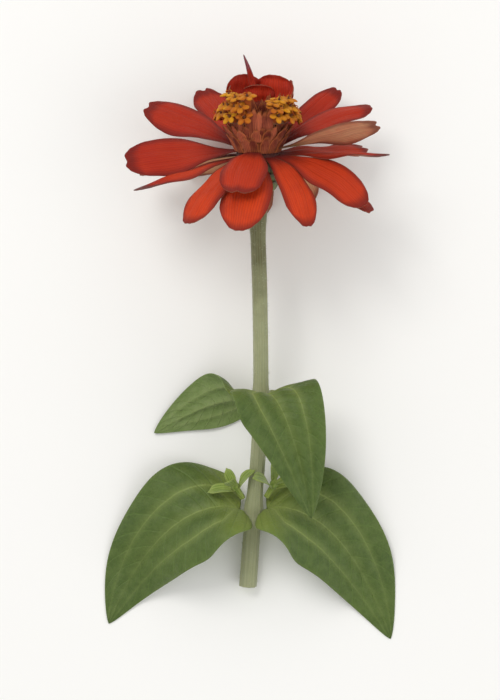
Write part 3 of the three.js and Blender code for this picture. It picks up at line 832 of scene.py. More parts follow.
# A few more close the gap between the florets in front, each with its turn in degrees and its tone.
frontPales = {
    "each": [[256, 0.25], [264, 0.5], [272, 1], [281, 0.1], [290, 0.4]],
    "low": 4.6, "length": 8.4, "lean": math.radians(17), "out": 1.1,
}
ring = {"sides": 16, "columnsForEach": 6, "swell": 0.12}
paleFace = plainMaterial(
    "paleFace",
    {
        "foot": colour(136, 70, 32), "head": colour(98, 28, 14), "from": 0.1, "to": 0.55,
        "patch": colour(202, 106, 72), "patches": 0.4, "patchScale": 420.0, "toneDepth": 0.85,
        "grooves": 3.0, "groove": colour(66, 18, 12), "grooveDepth": 0.55, "grooveHeight": -0.05,
        "edge": colour(206, 118, 62), "edgeDepth": 0.45,
        "cellScale": 3500.0, "cellHeight": 0.03, "roughness": 0.6, "sheen": 0.05, "gloss": 0.2,
    },
)


def palePart(turn, length, lean, foot, low, tone):
    # A strip that leans outwards and bows, at its full width up to about half its length and then narrowing
    # to a point, hollowed along its middle. Its end is cut into teeth. t runs towards -Y, so that the upper
    # face looks outwards.
    def surface(s, t):
        saw = np.abs(((t * pale["teeth"] / 2) % 1) - 0.5) * 2
        d = s * (1 - pale["fringe"] * saw * smooth((s - 0.55) / 0.45))
        half = pale["width"] / 2 * (1 - 0.82 * smooth((d - 0.45) / 0.6))
        out = foot + d * length * math.sin(lean) + pale["bow"] * d * d - pale["channel"] * t * t * half
        up = low + 0.2 + d * length * math.cos(lean)
        return fromBloom(turnedAbout(np.stack([out, -half * t, up], -1), (0, 0, 1), turn))

    def thickness(s, t):
        return pale["thickness"] * (1 - 0.7 * s * s)

    return blade(surface, pale["rows"], pale["columns"], thickness, tone)


def ringPart(low, height, width, bumps):
    # A ring round the cone with a row of bumps, where the feet of its florets or bracts meet.
    inner = radiusAt(coneSide, low) + flower["gap"]
    section = roundAngles(ring["sides"])[:, None] - math.pi / 2
    around = roundAngles(ring["columnsForEach"] * bumps)
    radius = inner + width / 2 * (1 + np.cos(section)) * (1 + ring["swell"] * np.cos(bumps * around))
    points = aboutAxis(radius, around, low + height / 2 * (1 + np.sin(section)))
    number = np.arange(radius.size).reshape(radius.shape)
    following = np.roll(number, -1, 0)
    quads = np.stack([number, np.roll(number, -1, 1), np.roll(following, -1, 1), following], -1)
    return moved(partOf(points, quads, slots=1), fromBloom)


def palesParts():
    draw = drawer(71)
    inner = radiusAt(coneSide, chaff["low"]) + flower["gap"]
    parts = [ringPart(chaff["low"], chaff["ringHeight"], chaff["ringWidth"], chaff["count"])]
    for row in range(2):
        for i in range(chaff["count"]):
            turn = 2 * math.pi * (i + row / 2) / chaff["count"] + 0.08 * draw()
            length = chaff["length"] + chaff["lengthStep"] * row + 0.5 * draw()
            lean = chaff["lean"] + chaff["leanStep"] * row + 0.05 * draw()
            foot = inner + chaff["out"] + chaff["outStep"] * row
            tone = (0.5 + 0.5 * math.sin(37 * turn)) ** 2
            parts.append(palePart(turn, length, lean, foot, chaff["low"], tone))

    for number, row in enumerate(paleRows):
        foot = radiusAt(coneSide, row["low"]) + row["out"]
        for i in range(row["count"]):
            turn = 2 * math.pi * (i + number / 2) / row["count"] + 0.1 * draw()
            length = row["length"] + 0.5 * draw()
            tone = (0.5 + 0.5 * draw()) ** 2
            parts.append(palePart(turn, length, row["lean"], foot, row["low"], tone))

    row = frontPales
    foot = radiusAt(coneSide, row["low"]) + row["out"]
    for turn, tone in row["each"]:
        length = row["length"] + 0.8 * draw()
        parts.append(palePart(math.radians(turn), length, row["lean"], foot, row["low"], tone))
    return parts


addPiece("pales", palesParts(), [paleFace, paleFace], ["chaffy_bracts"])


# Disc florets: tubes with five spreading lobes, each with a dark anther tube and two curling stigma arms.
# tube and lobe are radii, and up in a row is how far above the ring's low side its florets leave the cone.
disc = {
    "low": 8.3, "ringHeight": 1.5, "ringWidth": 1.2, "ringBumps": 18, "out": 0.45,
    "tube": 0.9, "lobe": 2.5, "throat": 0.9, "droop": 0.5, "tipCurl": 0.35, "channel": 0.14, "columns": 50,
    "antherRadius": 0.34, "antherRise": 0.55, "armLength": 1.3, "armWidth": 0.13, "armCurl": 3.6,
}
discRows = [
    {"count": 7, "first": 16, "last": 172, "lean": 69, "length": 3.5, "up": 0.6},
    {"count": 3, "first": 198, "last": 250, "lean": 54, "length": 3.5, "up": 0.6},
    {"count": 4, "first": 206, "last": 248, "lean": 34, "length": 5.1, "up": 1},
    {"count": 3, "first": 210, "last": 252, "lean": 13, "length": 7, "up": 1.2},
    {"count": 3, "first": 298, "last": 350, "lean": 54, "length": 3.5, "up": 0.6},
    {"count": 4, "first": 300, "last": 340, "lean": 34, "length": 4.4, "up": 1},
    {"count": 3, "first": 294, "last": 330, "lean": 14, "length": 5.4, "up": 1.2},
]
floretFace = plainMaterial(
    "floretFace",
    {
        # The orange-brown foot, low on each tube and fading up the undersides of the lobes, is painted shade
        # among the florets.
        "foot": colour(128, 58, 14), "head": colour(220, 154, 12), "from": 0.22, "to": 0.62,
        "patch": colour(182, 84, 14), "patches": 0.55, "patchScale": 600.0, "toneDepth": 0.7,
        "cellScale": 4200.0, "cellHeight": 0.06, "roughness": 0.7, "sheen": 0.05, "gloss": 0.25,
    },
)
antherSkin = plainMaterial(
    "antherSkin",
    {
        "foot": colour(110, 62, 22), "head": colour(74, 30, 18), "from": 0.3, "to": 0.8,
        "patch": colour(168, 104, 30), "patches": 0.4, "patchScale": 1500.0,
        "cellScale": 5000.0, "cellHeight": 0.05, "roughness": 0.7,
    },
)


def floretParts(row, turn, lean, length, spin, tone):
    foot = (radiusAt(coneSide, disc["low"]) + flower["gap"] + disc["out"], 0, disc["low"] + row["up"])

    def place(points):
        return stood(turnedAbout(points, (0, 0, 1), spin), foot, lean, turn)

    # The outside climbs the tube and spreads into the lobes, whose tips curl back; the inside comes back over
    # their upper faces and goes down the throat. Each row is the share of the way out to the lobes' edge and
    # a height, and a share below 0 is inside the tube's own radius.
    spread = disc["lobe"] - disc["tube"]
    bottom = length - disc["throat"]
    outside = [
        (-0.3 / spread, 0), (-0.12 / spread, 0.35 * length), (0, 0.7 * length), (0.15, length - 0.42),
        (0.5, length - 0.26), (0.82, length - 0.24), (1, length - 0.3),
    ]
    inside = [
        (1, length - 0.12), (0.82, length - 0.02), (0.5, length), (0.2, length - 0.08),
        (-0.12 / spread, length - 0.32), (-0.45 / spread, length - 0.6), (-0.55 / spread, bottom),
    ]
    share, level = np.array(outside + inside).T[..., None]
    beyond = np.maximum(share, 0)
    angle = roundAngles(disc["columns"])
    lobed = (0.5 + 0.5 * np.cos(5 * angle)) ** 0.4
    radius = disc["tube"] + spread * (beyond * lobed + np.minimum(share, 0)) + 0.1 * beyond * (1 - lobed)
    fold = disc["droop"] * (1 - lobed) * smooth(share * 1.4) + disc["tipCurl"] * beyond**3 * lobed
    channel = disc["channel"] * hump(np.abs(np.sin(2.5 * angle)) / 0.35) * smooth(share * 3)
    height = level - fold - channel * smooth((1.05 - share) * 4)
    rings = place(aboutAxis(radius, angle, height))
    corolla = tube(rings, tone, start=place(np.zeros(3)), end=place(np.array([0, 0, bottom])))

    # The anther tube is a slim barrel that stands out of the throat.
    along = np.linspace(0, 1, 7)
    height = bottom - 0.1 + along * (disc["throat"] + disc["antherRise"])
    path = np.stack([0 * along, 0 * along, height], -1)
    barrel = disc["antherRadius"] * (1 - 0.75 * smooth((along - 0.6) / 0.4))
    anther = tube(place(ringsAlong(path, barrel, 10, reference=(1, 0, 0))), tone, slots=1)

    # Each arm is an arc that leaves the anther tube's end and curls outwards and down.
    arms = []
    bend = along * disc["armCurl"]
    arc = disc["armLength"] / disc["armCurl"]
    thickness = disc["armWidth"] * (1.2 - 0.7 * along)
    for way in (1, -1):
        out = way * (0.08 + arc * (1 - np.cos(bend)))
        height = length + disc["antherRise"] - 0.25 + arc * np.sin(bend)
        path = np.stack([out, 0 * along, height], -1)
        arms.append(tube(place(ringsAlong(path, thickness, 8, reference=(0, 1, 0))), tone))
    return [corolla, anther, *arms]


def floretsParts():
    draw = drawer(97)
    parts = [ringPart(disc["low"], disc["ringHeight"], disc["ringWidth"], disc["ringBumps"])]
    for row in discRows:
        for i in range(row["count"]):
            turn = row["first"] + (row["last"] - row["first"]) * i / (row["count"] - 1) + 4 * draw()
            lean = row["lean"] + 7 * draw()
            length = row["length"] + 0.35 * draw()
            spin = math.pi * draw()
            tone = 0.5 + 0.5 * math.sin(23 * turn)
            parts += floretParts(row, math.radians(turn), math.radians(lean), length, spin, tone)
    return parts


addPiece("discFlorets", floretsParts(), [floretFace, antherSkin], ["disc_florets"])


# Pointed buds that cover the top of the cone in crossing spirals.
buds = {
    "count": 74, "reach": 5.7, "length": 3.3, "shorter": 1.1, "width": 1.3, "lean": math.radians(24),
    "slope": 0.25, "sink": 0.4, "ribs": 3, "ribHeight": 0.12, "rows": 10, "columns": 12,
}
budSkin = plainMaterial(
    "budSkin",
    {
        "foot": colour(146, 84, 34), "head": colour(104, 26, 14), "from": 0.25, "to": 0.8,
        "patch": colour(140, 62, 24), "patches": 0.5, "patchScale": 900.0, "toneDepth": 0.4,
        "cellScale": 3800.0, "cellHeight": 0.04, "roughness": 0.62, "sheen": 0.05, "gloss": 0.25,
    },
)


def budPart(outer, turn, length, lean, tone):
    # A body turned about its own leaning axis, thinning to a point, with three ribs. outer is 1 at the rim of
    # the cone.
    share = np.linspace(0, 0.97, buds["rows"])[:, None]
    angle = roundAngles(buds["columns"])
    thinning = (1 - share**2.2) * (0.7 + 0.3 * np.sin(math.pi * share))
    radius = buds["width"] / 2 * thinning * (1 + buds["ribHeight"] * np.cos(buds["ribs"] * angle))
    out = buds["reach"] * outer
    foot = (out, 0, cone["height"] - buds["slope"] * out - buds["sink"])

    def place(points):
        return stood(points, foot, lean, turn)

    rings = place(aboutAxis(radius, angle, length * share))
    return tube(rings, tone, start=place(np.zeros(3)), end=place(np.array([0, 0, length])))


def budsParts():
    # Bud number k stands at k golden angles round the axis, at a distance from it that goes as the root of k.
    draw = drawer(61)
    goldenAngle = math.pi * (3 - math.sqrt(5))
    parts = []
    for k in range(buds["count"]):
        outer = math.sqrt((k + 0.5) / buds["count"])
        length = buds["length"] - buds["shorter"] * (1 - outer) + 0.35 * draw()
        lean = buds["lean"] * outer + 0.06 * draw()
        parts.append(budPart(outer, k * goldenAngle, length, lean, 0.5 + 0.5 * draw()))
    return parts


addPiece("coneBuds", budsParts(), [budSkin], ["chaffy_bracts"])


# The involucre: a green bell with three rows of overlapping round-ended bracts, dark and thin at their edges.
involucre = {
    "depth": 10.2, "thickness": 0.38, "scallop": 1.8, "overlap": 1.16, "foot": 0.25, "above": 0.45,
    "bell": [(2.9, -10.2), (3.5, -9), (4.4, -7.2), (5.3, -4.6), (6, cone["foot"] - flower["gap"])],
    "layers": [
        {"top": -7, "count": 9, "shift": 0},
        {"top": -4.8, "count": 10, "shift": 0.5},
        {"top": -2.4, "count": 11, "shift": 0.2},
    ],
    "bellRows": 40, "bellColumns": 80, "rows": 24, "columns": 17,
}
bractFace = plainMaterial(
    "bractFace",
    {
        "foot": colour(108, 120, 54), "head": colour(96, 108, 44), "from": 0.2, "to": 0.9,
        "patch": colour(82, 90, 38), "patches": 0.5, "patchScale": 350.0,
        "grooves": 4.0, "groove": colour(72, 82, 34), "grooveDepth": 0.5, "grooveHeight": -0.05,
        "edge": colour(48, 34, 26), "edgeDepth": 0.9,
        "cellScale": 3000.0, "cellHeight": 0.04, "roughness": 0.62, "sheen": 0.2,
    },
)


def bellRadius(height):  # the bell's profile, rounded between its points
    around = [radiusAt(involucre["bell"], height + shift) for shift in (-0.5, -0.25, 0, 0.25, 0.5)]
    return sum(around) / len(around)


def bractThickness(s, t):
    return 0.24 - 0.14 * s**3 - 0.06 * t * t


def bractPart(layer, number, outer):
    # From the bell's foot up to a round end, wrapped round the bell and standing off it by outer.
    size = involucre
    foot = size["foot"] - size["depth"]
    middle = 2 * math.pi * (number - layer["shift"]) / layer["count"]
    halfAngle = math.pi / layer["count"] * size["overlap"]

    def surface(s, t):
        end = layer["top"] + size["above"] - size["scallop"] * np.abs(t) ** 2.6
        h = foot + s * (end - foot)
        angle = middle - t * halfAngle * (0.75 + 0.25 * smooth(2 * s))
        lift = outer * smooth((h + size["depth"]) / 1.5) + 0.16 * s**6 - 0.1 * t * t
        return fromBloom(aboutAxis(bellRadius(h) + lift, angle, h))

    return blade(surface, size["rows"], size["columns"], bractThickness)


def involucreParts():
    size = involucre
    height = np.linspace(-size["depth"], size["bell"][-1][1], size["bellRows"])
    bell = tube(turned(np.stack([bellRadius(height) - 0.05, height], -1), size["bellColumns"]))
    parts = [moved(bell, fromBloom)]
    for under, layer in enumerate(size["layers"]):
        outer = size["thickness"] * (len(size["layers"]) - under) - 0.12
        parts += [bractPart(layer, number, outer) for number in range(layer["count"])]
    return parts


addPiece("involucre_bracts", involucreParts(), [bractFace, bractFace], ["involucre"])


# The stem: a round section carried along a curve, ribbed, with bristly hairs and a cut end. cut gives the
# rings of the cut end from its hollow outwards, as shares of the stem's radius with their depths.
stem = {
    "radius": 2, "atNodes": 0.45, "reach": 2.6, "underBloom": 0.75, "towardsCut": 0.35,
    "ribs": 9, "ribHeight": 0.07, "ribWinding": 5, "rows": 240, "columns": 60,
    "cut": [(0.2, 0.5), (0.45, 0.42), (0.62, 0.1), (0.86, 0.0), (0.97, 0.0)], "hollow": 0.55,
}
stemHair = {
    "count": 900, "places": 48, "forward": 0.35, "stray": 0.25,
    "length": 0.8, "width": 0.09, "middle": 0.5, "middleRadius": 0.3, "tipBend": 0.2,
    "lowest": 0.9,  # no hair grows nearer to the surface
}
stemTop = bloomPlace - bloomAxis * (involucre["depth"] + flower["gap"])
stemPoints = np.array([
    (-0.6, -61.5, 2.4), flower["lowerNode"], (2.1, -27.5, 9.6), flower["upperNode"], (2.6, 12.5, 18.2),
    tuple(stemTop - 7 * bloomAxis), tuple(stemTop),
])
stemSkin = plainMaterial(
    "stemSkin",
    {
        "foot": colour(160, 162, 124), "head": colour(90, 86, 46), "from": 0.55, "to": 0.98,
        "patch": colour(140, 144, 104), "patches": 0.45, "patchScale": 160.0,
        "grooves": 9.0, "groove": colour(134, 142, 102), "grooveDepth": 0.35, "grooveHeight": -0.04,
        "cellScale": 2600.0, "cellHeight": 0.02, "roughness": 0.52, "sheen": 0.15,
    },
)
cutPith = plainMaterial(
    "cutPith",
    {
        "foot": colour(206, 212, 176), "head": colour(186, 196, 150), "from": 0.2, "to": 0.8,
        "patch": colour(150, 166, 112), "patches": 0.5, "patchScale": 900.0,
        "cellScale": 2200.0, "cellHeight": 0.08, "roughness": 0.7,
    },
)
hairSkin = plainMaterial(
    "hairSkin",
    {
        "foot": colour(176, 184, 150), "head": colour(214, 216, 196), "from": 0.2, "to": 0.8,
        "patch": colour(196, 200, 170), "patches": 0.3, "patchScale": 900.0,
        "cellScale": 2200.0, "cellHeight": 0.0, "roughness": 0.5,
    },
)


def curveThrough(points, share):
    # A cubic curve through the points, whose slope at each comes from its neighbours on both sides, weighted
    # by the root of their distance. It is read at shares of its length, with its direction.
    first = 2 * points[:1] - points[1:2]
    last = 2 * points[-1:] - points[-2:-1]
    knots = np.concatenate([first, points, last])
    fine = np.linspace(0, len(points) - 1, 200 * (len(points) - 1) + 1)
    i = np.minimum(fine.astype(int), len(points) - 2)
    w = (fine - i)[:, None]
    p0, p1, p2, p3 = (knots[i + k] for k in range(4))
    d0, d1, d2 = (np.sqrt(np.linalg.norm(b - a, axis=1))[:, None] for a, b in ((p0, p1), (p1, p2), (p2, p3)))
    t1 = ((p1 - p0) / d0 - (p2 - p0) / (d0 + d1) + (p2 - p1) / d1) * d1
    t2 = ((p2 - p1) / d1 - (p3 - p1) / (d1 + d2) + (p3 - p2) / d2) * d1
    curve = p1 + t1 * w + (-3 * p1 + 3 * p2 - 2 * t1 - t2) * w**2 + (2 * p1 - 2 * p2 + t1 + t2) * w**3
    walked = np.concatenate([[0], np.cumsum(np.linalg.norm(np.diff(curve, axis=0), axis=1))])

    def at(shares):
        return np.stack([np.interp(shares * walked[-1], walked, curve[:, k]) for k in range(3)], -1)

    ahead = unit(at(np.minimum(share + 0.004, 1)) - at(np.maximum(share - 0.004, 0)))
    return at(share), ahead


def stemRings(share, columns):
    # The stem's rings and its middle line, with the swellings at the leaf pairs, under the bloom and towards
    # the cut, and low ribs that wind slowly round it.
    centre, ahead = curveThrough(stemPoints, share)
    toLower = np.linalg.norm(centre - lowerNode, axis=1)
    toUpper = np.linalg.norm(centre - upperNode, axis=1)
    radius = stem["radius"] + stem["atNodes"] * hump(np.minimum(toLower, toUpper) / stem["reach"])
    radius = radius + stem["underBloom"] * smooth((share - 0.88) / 0.12)
    radius = radius + stem["towardsCut"] * smooth(1 - share / 0.35)
    winding = stem["ribs"] * roundAngles(columns) + stem["ribWinding"] * share[:, None]
    ribs = stem["ribHeight"] * (np.cos(winding) - 1)
    rings = ringsAlong(centre, radius[:, None] + ribs, columns, ahead)
    rings[..., 2] = np.maximum(rings[..., 2], 0)
    return rings, centre


def stemPart():
    # The rings of the cut end, which get the pith's slot, and then those of the stem, along which its places
    # run from 0 to 1.
    columns = stem["columns"]
    share = np.linspace(0, 1, stem["rows"])
    rings, centre = stemRings(share, columns)
    ahead = unit(centre[1] - centre[0])
    cut = [centre[0] + (rings[0] - centre[0]) * size + ahead * depth for size, depth in stem["cut"]]
    body = tube(np.concatenate([np.array(cut), rings]), start=centre[0] + ahead * stem["hollow"])
    slots = np.array(body["slots"])
    slots[: (len(cut) - 1) * columns] = 1
    slots[len(body["quads"]): len(body["quads"]) + columns] = 1
    place = body["place"].copy()
    first = len(cut) * columns
    place[first: first + stem["rows"] * columns, 0] = np.repeat(share, columns)
    return {**body, "slots": slots, "place": place}


def hairsPart(roots, directions, lengths):
    # Each hair is a three-sided spike: a foot, a narrower ring halfway, and a tip that bends over.
    size = stemHair
    directions = unit(directions)
    helper = np.where(np.abs(directions[:, :1]) < 0.8, [[1.0, 0, 0]], [[0, 1.0, 0]])
    right = unit(np.cross(directions, helper))
    up = np.cross(right, directions)
    angle = roundAngles(3)[None, :, None]
    aroundIt = np.cos(angle) * right[:, None] + np.sin(angle) * up[:, None]
    reach = (directions * lengths[:, None])[:, None]
    foot = roots[:, None] + aroundIt * size["width"] / 2
    middle = roots[:, None] + size["middle"] * reach + aroundIt * size["width"] * size["middleRadius"]
    tip = roots[:, None] + reach + up[:, None] * size["tipBend"] * lengths[:, None, None]
    first = np.arange(len(roots))[:, None] * 7
    quads = np.concatenate([first + [j, (j + 1) % 3, 3 + (j + 1) % 3, 3 + j] for j in range(3)])
    tris = np.concatenate([first + [3 + j, 3 + (j + 1) % 3, 6] for j in range(3)] + [first + [2, 1, 0]])
    return partOf(np.concatenate([foot, middle, tip], 1), quads, tris)


def stemHairs():
    # Hairs stand at random places on the stem, leaning towards the bloom, and are longest just under it.
    random = np.random.default_rng(5)
    count = stemHair["count"]
    share = np.sort(0.01 + 0.97 * random.random(count))
    rings, centre = stemRings(share, stemHair["places"])
    column = random.integers(0, stemHair["places"], count)
    roots = rings[np.arange(count), column]
    outwards = unit(roots - centre)
    ahead = unit(np.gradient(centre, axis=0))
    stray = stemHair["stray"] * random.normal(size=(count, 3))
    directions = outwards + stemHair["forward"] * ahead + stray
    longer = 1 + 0.5 * smooth((share - 0.8) / 0.2)
    lengths = stemHair["length"] * (0.45 + 0.55 * random.random(count)) * longer
    keep = roots[:, 2] > stemHair["lowest"]
    return hairsPart((roots - 0.05 * outwards)[keep], directions[keep], lengths[keep])


addPiece("stemBody", [stemPart()], [stemSkin, cutPith], ["stem"])
addPiece("stemHairs", [stemHairs()], [hairSkin], ["stem"])


# Leaves. Each has the path of its midrib from the middle of its node, the way its upper face looks at the
# root and at the tip, and its full width. The rear one lies under the stem with its lower face up.
leaves = {
    "leaf_lower_right": {
        "node": lowerNode,
        "path": [(3.3, 0.4, 0.4), (15, 3, 7), (28, -9, 0), (36, -34, -15)],
        "faces": [(0, 0.75, 0.65), (0.25, 0.15, 1)],
        "width": 28, "waves": 0.1, "phase": 0.2,
    },
    "leaf_lower_left": {
        "node": lowerNode,
        "path": [(-3.3, 0.2, 0.4), (-14, 4, 7.5), (-29, -6, 0), (-38, -30, -15)],
        "faces": [(0, 0.75, 0.65), (-0.3, 0.1, 1)],
        "width": 29, "waves": 0.09, "phase": 0.65,
    },
    "leaf_upper_front": {
        "node": upperNode,
        "path": [(0.8, 0.2, 3), (3, 5, 12), (9, -8, 15), (13, -31, 6)],
        "faces": [(0, 1, 0.25), (0.1, -0.1, 1)],
        "width": 23, "waves": 0.08, "phase": 0.1,
    },
    "leaf_upper_rear": {
        "node": upperNode,
        "path": [(-1.3, 0.2, -2.4), (-4, 2, -9), (-14, 0, -12), (-28, -9, -14)],
        "faces": [(0, 1, 0.1), (0.1, 0.3, -1)],
        "width": 18, "waves": 0.07, "phase": 0.4,
    },
}
leafShape = {
    "scale": 2.03, "base": 0.36, "tip": 0.8,  # half width goes as s to the base by (1 - s) to the tip
    "clasp": 0.05, "claspReach": 0.16, "fold": 0.3, "edgeDroop": 0.16, "edgeWaves": 2.3,
    "midribDepth": 0.4, "midribReach": 0.5, "sideRibDepth": 0.2, "sideRibReach": 0.8,
    "furrowDepth": 0.5, "furrowReach": 0.15, "pucker": 0.12,
    "thickness": 0.4, "edge": 0.2, "midribThickness": 0.9, "midribWidth": 0.04, "rows": 130, "columns": 65,
}


def leafSurface(leaf, s, t):
    # An egg-shaped blade with a pointed end, about a midrib that is a cubic curve with four control points.
    # It is folded a little along that, with drooping and waved edges and base lobes that go back round the
    # stem. The midrib and two side ribs are sunk in and lie in wide furrows, and the skin between the
    # slanting side veins is raised.
    shape = leafShape
    p0, p1, p2, p3 = np.array(leaf["path"], float)
    w = s[..., None]
    middle = p0 * (1 - w) ** 3 + 3 * p1 * w * (1 - w) ** 2 + 3 * p2 * w**2 * (1 - w) + p3 * w**3
    ahead = unit(3 * (p1 - p0) * (1 - w) ** 2 + 6 * (p2 - p1) * w * (1 - w) + 3 * (p3 - p2) * w**2)
    rootFace, tipFace = unit(np.array(leaf["faces"], float))
    facing = rootFace + (tipFace - rootFace) * smooth(1.4 * w)
    aside = unit(np.cross(facing, ahead))
    up = np.cross(ahead, aside)
    half = leaf["width"] / 2 * shape["scale"] * (s + 0.008) ** shape["base"] * (1.0004 - s) ** shape["tip"]
    fold = shape["fold"] * (np.sqrt(t * t + 0.01) - 0.1)
    wave = leaf["waves"] * t * t * np.sin(2 * math.pi * (shape["edgeWaves"] * s + leaf["phase"]) + 2 * t)
    back = shape["clasp"] * leaf["width"] * t * t * hump(s / shape["claspReach"])
    lift = half * (fold - shape["edgeDroop"] * t**4 + wave)
    inland = smooth(half / 4) * smooth(4 * (1 - s))
    sideRib = np.abs(np.abs(t) - leafRibs["sideRib"] * smooth(s / leafRibs["sideRibFrom"]))
    sunk = shape["midribDepth"] * hump(half * t / shape["midribReach"])
    sunk = sunk + shape["sideRibDepth"] * hump(half * sideRib / shape["sideRibReach"])
    furrows = hump(t / shape["furrowReach"]) + hump(sideRib / shape["furrowReach"])
    sunk = sunk + shape["furrowDepth"] * furrows * smooth(s / 0.25)
    slanting = leafRibs["sideVeins"] * s - leafRibs["slant"] * np.abs(t)
    puckered = shape["pucker"] * (0.5 - 0.5 * np.cos(2 * math.pi * slanting)) * smooth(6 * (1 - np.abs(t)))
    lift = lift + inland * (puckered - sunk)
    return middle + aside * (half * t)[..., None] + up * lift[..., None] - ahead * back[..., None]


def leafThickness(s, t):  # thickest along the midrib, which stands out from the lower face
    size = leafShape
    midrib = size["midribThickness"] * hump(t / size["midribWidth"]) * (1 - 0.8 * s)
    return size["edge"] + (size["thickness"] - size["edge"]) * (1 - t**2) + midrib


leafSkin = {
    "patches": 0.7, "patchScale": 70.0, "blooms": 0.35, "bloomScale": 420.0, "baseReach": 0.3,
    "edgeFrom": 0.93, "edgeDepth": 0.45, "netScale": 850.0, "fineNetScale": 2600.0, "fineNetHeight": 0.02,
    "unevenScale": 500.0, "unevenHeight": 0.16, "dullScale": 300.0, "dulling": 0.2,
}


def leafMaterial(name, look):
    # Green, yellower towards the stem, with paler ribs and veins, a fine net between them, and dull patches.
    material, tree, shader, position, place, _ = newMaterial(name)
    finish = leafSkin
    along = place["Along"]
    aside = place["Aside"]
    veins = placed(tree, leafVeins, {"Along": along, "Aside": aside, "Position": position})
    net = placed(tree, cells, {"Position": position, "Scale": finish["netScale"]})
    fineNet = placed(tree, cells, {"Position": position, "Scale": finish["fineNetScale"]})
    skin = patched(tree, position, look["skin"], look["patch"], finish["patches"], finish["patchScale"])
    skin = patched(tree, position, skin, look["bloom"], finish["blooms"], finish["bloomScale"])
    base = step(tree, along, 0.0, finish["baseReach"], look["baseDepth"], 0.0)
    skin = mixed(tree, base, skin, look["base"])
    skin = tinted(tree, net["Edge"], look["netDepth"], skin, look["vein"])
    skin = tinted(tree, veins["Side"], look["sideDepth"], skin, look["vein"])
    skin = tinted(tree, veins["Main"], look["mainDepth"], skin, look["rib"])
    edge = step(tree, aside, finish["edgeFrom"], 1.0, 0.0, finish["edgeDepth"])
    skin = mixed(tree, edge, skin, look["edge"])
    height = calc(tree, "MULTIPLY", veins["Side"], look["sideHeight"])
    height = raised(tree, net["Height"], look["netHeight"], height)
    height = raised(tree, fineNet["Height"], finish["fineNetHeight"], height)
    height = raised(tree, noise(tree, position, finish["unevenScale"], 4.0), finish["unevenHeight"], height)
    dull = noise(tree, position, finish["dullScale"], 3.0)
    least = look["roughness"] - finish["dulling"] / 2
    rough = calc(tree, "MULTIPLY_ADD", dull, finish["dulling"], least)
    tree.links.new(rough, shader.inputs["Roughness"])
    setShader(
        tree, shader, skin, height,
        Specular_IOR_Level=0.36,
        Sheen_Weight=look["sheen"],
        Sheen_Roughness=0.6,
        Sheen_Tint=colour(214, 226, 206),
        Subsurface_Weight=0.06,
        Subsurface_Radius=(0.0005, 0.0009, 0.0002),
        Subsurface_Scale=1.0,
    )
    return material


leafFace = leafMaterial(
    "leafFace",
    {
        "skin": colour(74, 94, 30), "patch": colour(58, 80, 24), "bloom": colour(98, 116, 56),
        "vein": colour(94, 118, 48), "rib": colour(144, 158, 86), "edge": colour(100, 118, 52),
        "base": colour(136, 150, 64), "baseDepth": 0.75,
        "netDepth": 0.2, "sideDepth": 0.3, "mainDepth": 0.8, "sideHeight": -0.08, "netHeight": 0.05,
        "roughness": 0.54, "sheen": 0.08,
    },
)
leafBack = leafMaterial(
    "leafBack",
    {
        "skin": colour(106, 126, 64), "patch": colour(90, 112, 52), "bloom": colour(130, 144, 92),
        "vein": colour(124, 142, 80), "rib": colour(152, 166, 104), "edge": colour(112, 130, 66),
        "base": colour(144, 156, 84), "baseDepth": 0.5,
        "netDepth": 0.3, "sideDepth": 0.5, "mainDepth": 0.85, "sideHeight": 0.12, "netHeight": 0.06,
        "roughness": 0.62, "sheen": 0.15,
    },
)


def leafPart(leaf):
    def surface(s, t):
        return bentUp(leafSurface(leaf, s, t) + leaf["node"], leafShape["edge"])

    return blade(surface, leafShape["rows"], leafShape["columns"], leafThickness)


for name, leaf in leaves.items():
    addPiece(name + "_blade", [leafPart(leaf)], [leafFace, leafBack], [name])


# Young side shoots: a short stalk with two pairs of small leaves round a bud. foot is from the node's middle.
shoots = {
    "side_shoot_right": {"foot": (3.4, 3.4, 1.2), "ahead": (0.6, 1, 0.7), "seed": 131},
    "side_shoot_left": {"foot": (-2.8, 3.1, 1.2), "ahead": (-0.65, 1, 0.8), "seed": 149},
}
shootShape = {
    "stalk": 3.2, "bud": 2.6, "point": 0.3, "foldDepth": 0.09, "stalkRows": 30, "stalkColumns": 36,
    "pairs": [
        {"up": -0.3, "rise": 48, "bend": -46, "length": 8},
        {"up": 0.7, "rise": 66, "bend": -20, "length": 5.5},
    ],
    "rows": 28, "columns": 15,
}
shootFace = plainMaterial(
    "shootFace",
    {
        "foot": colour(152, 168, 74), "head": colour(118, 142, 50), "from": 0.1, "to": 0.7,
        "patch": colour(100, 124, 44), "patches": 0.5, "patchScale": 300.0,
        "grooves": 2.5, "groove": colour(160, 176, 88), "grooveDepth": 0.5, "grooveHeight": -0.05,
        "edge": colour(166, 178, 96), "edgeDepth": 0.35,
        "cellScale": 2600.0, "cellHeight": 0.03, "roughness": 0.5, "sheen": 0.2,
    },
)


def budFolds(angle, height):  # six low folds that wind up the stalk and its bud
    return shootShape["foldDepth"] * (np.cos(6 * angle + 1.2 * height) - 1)


def leafletThickness(s, t):
    return 0.3 - 0.14 * t * t


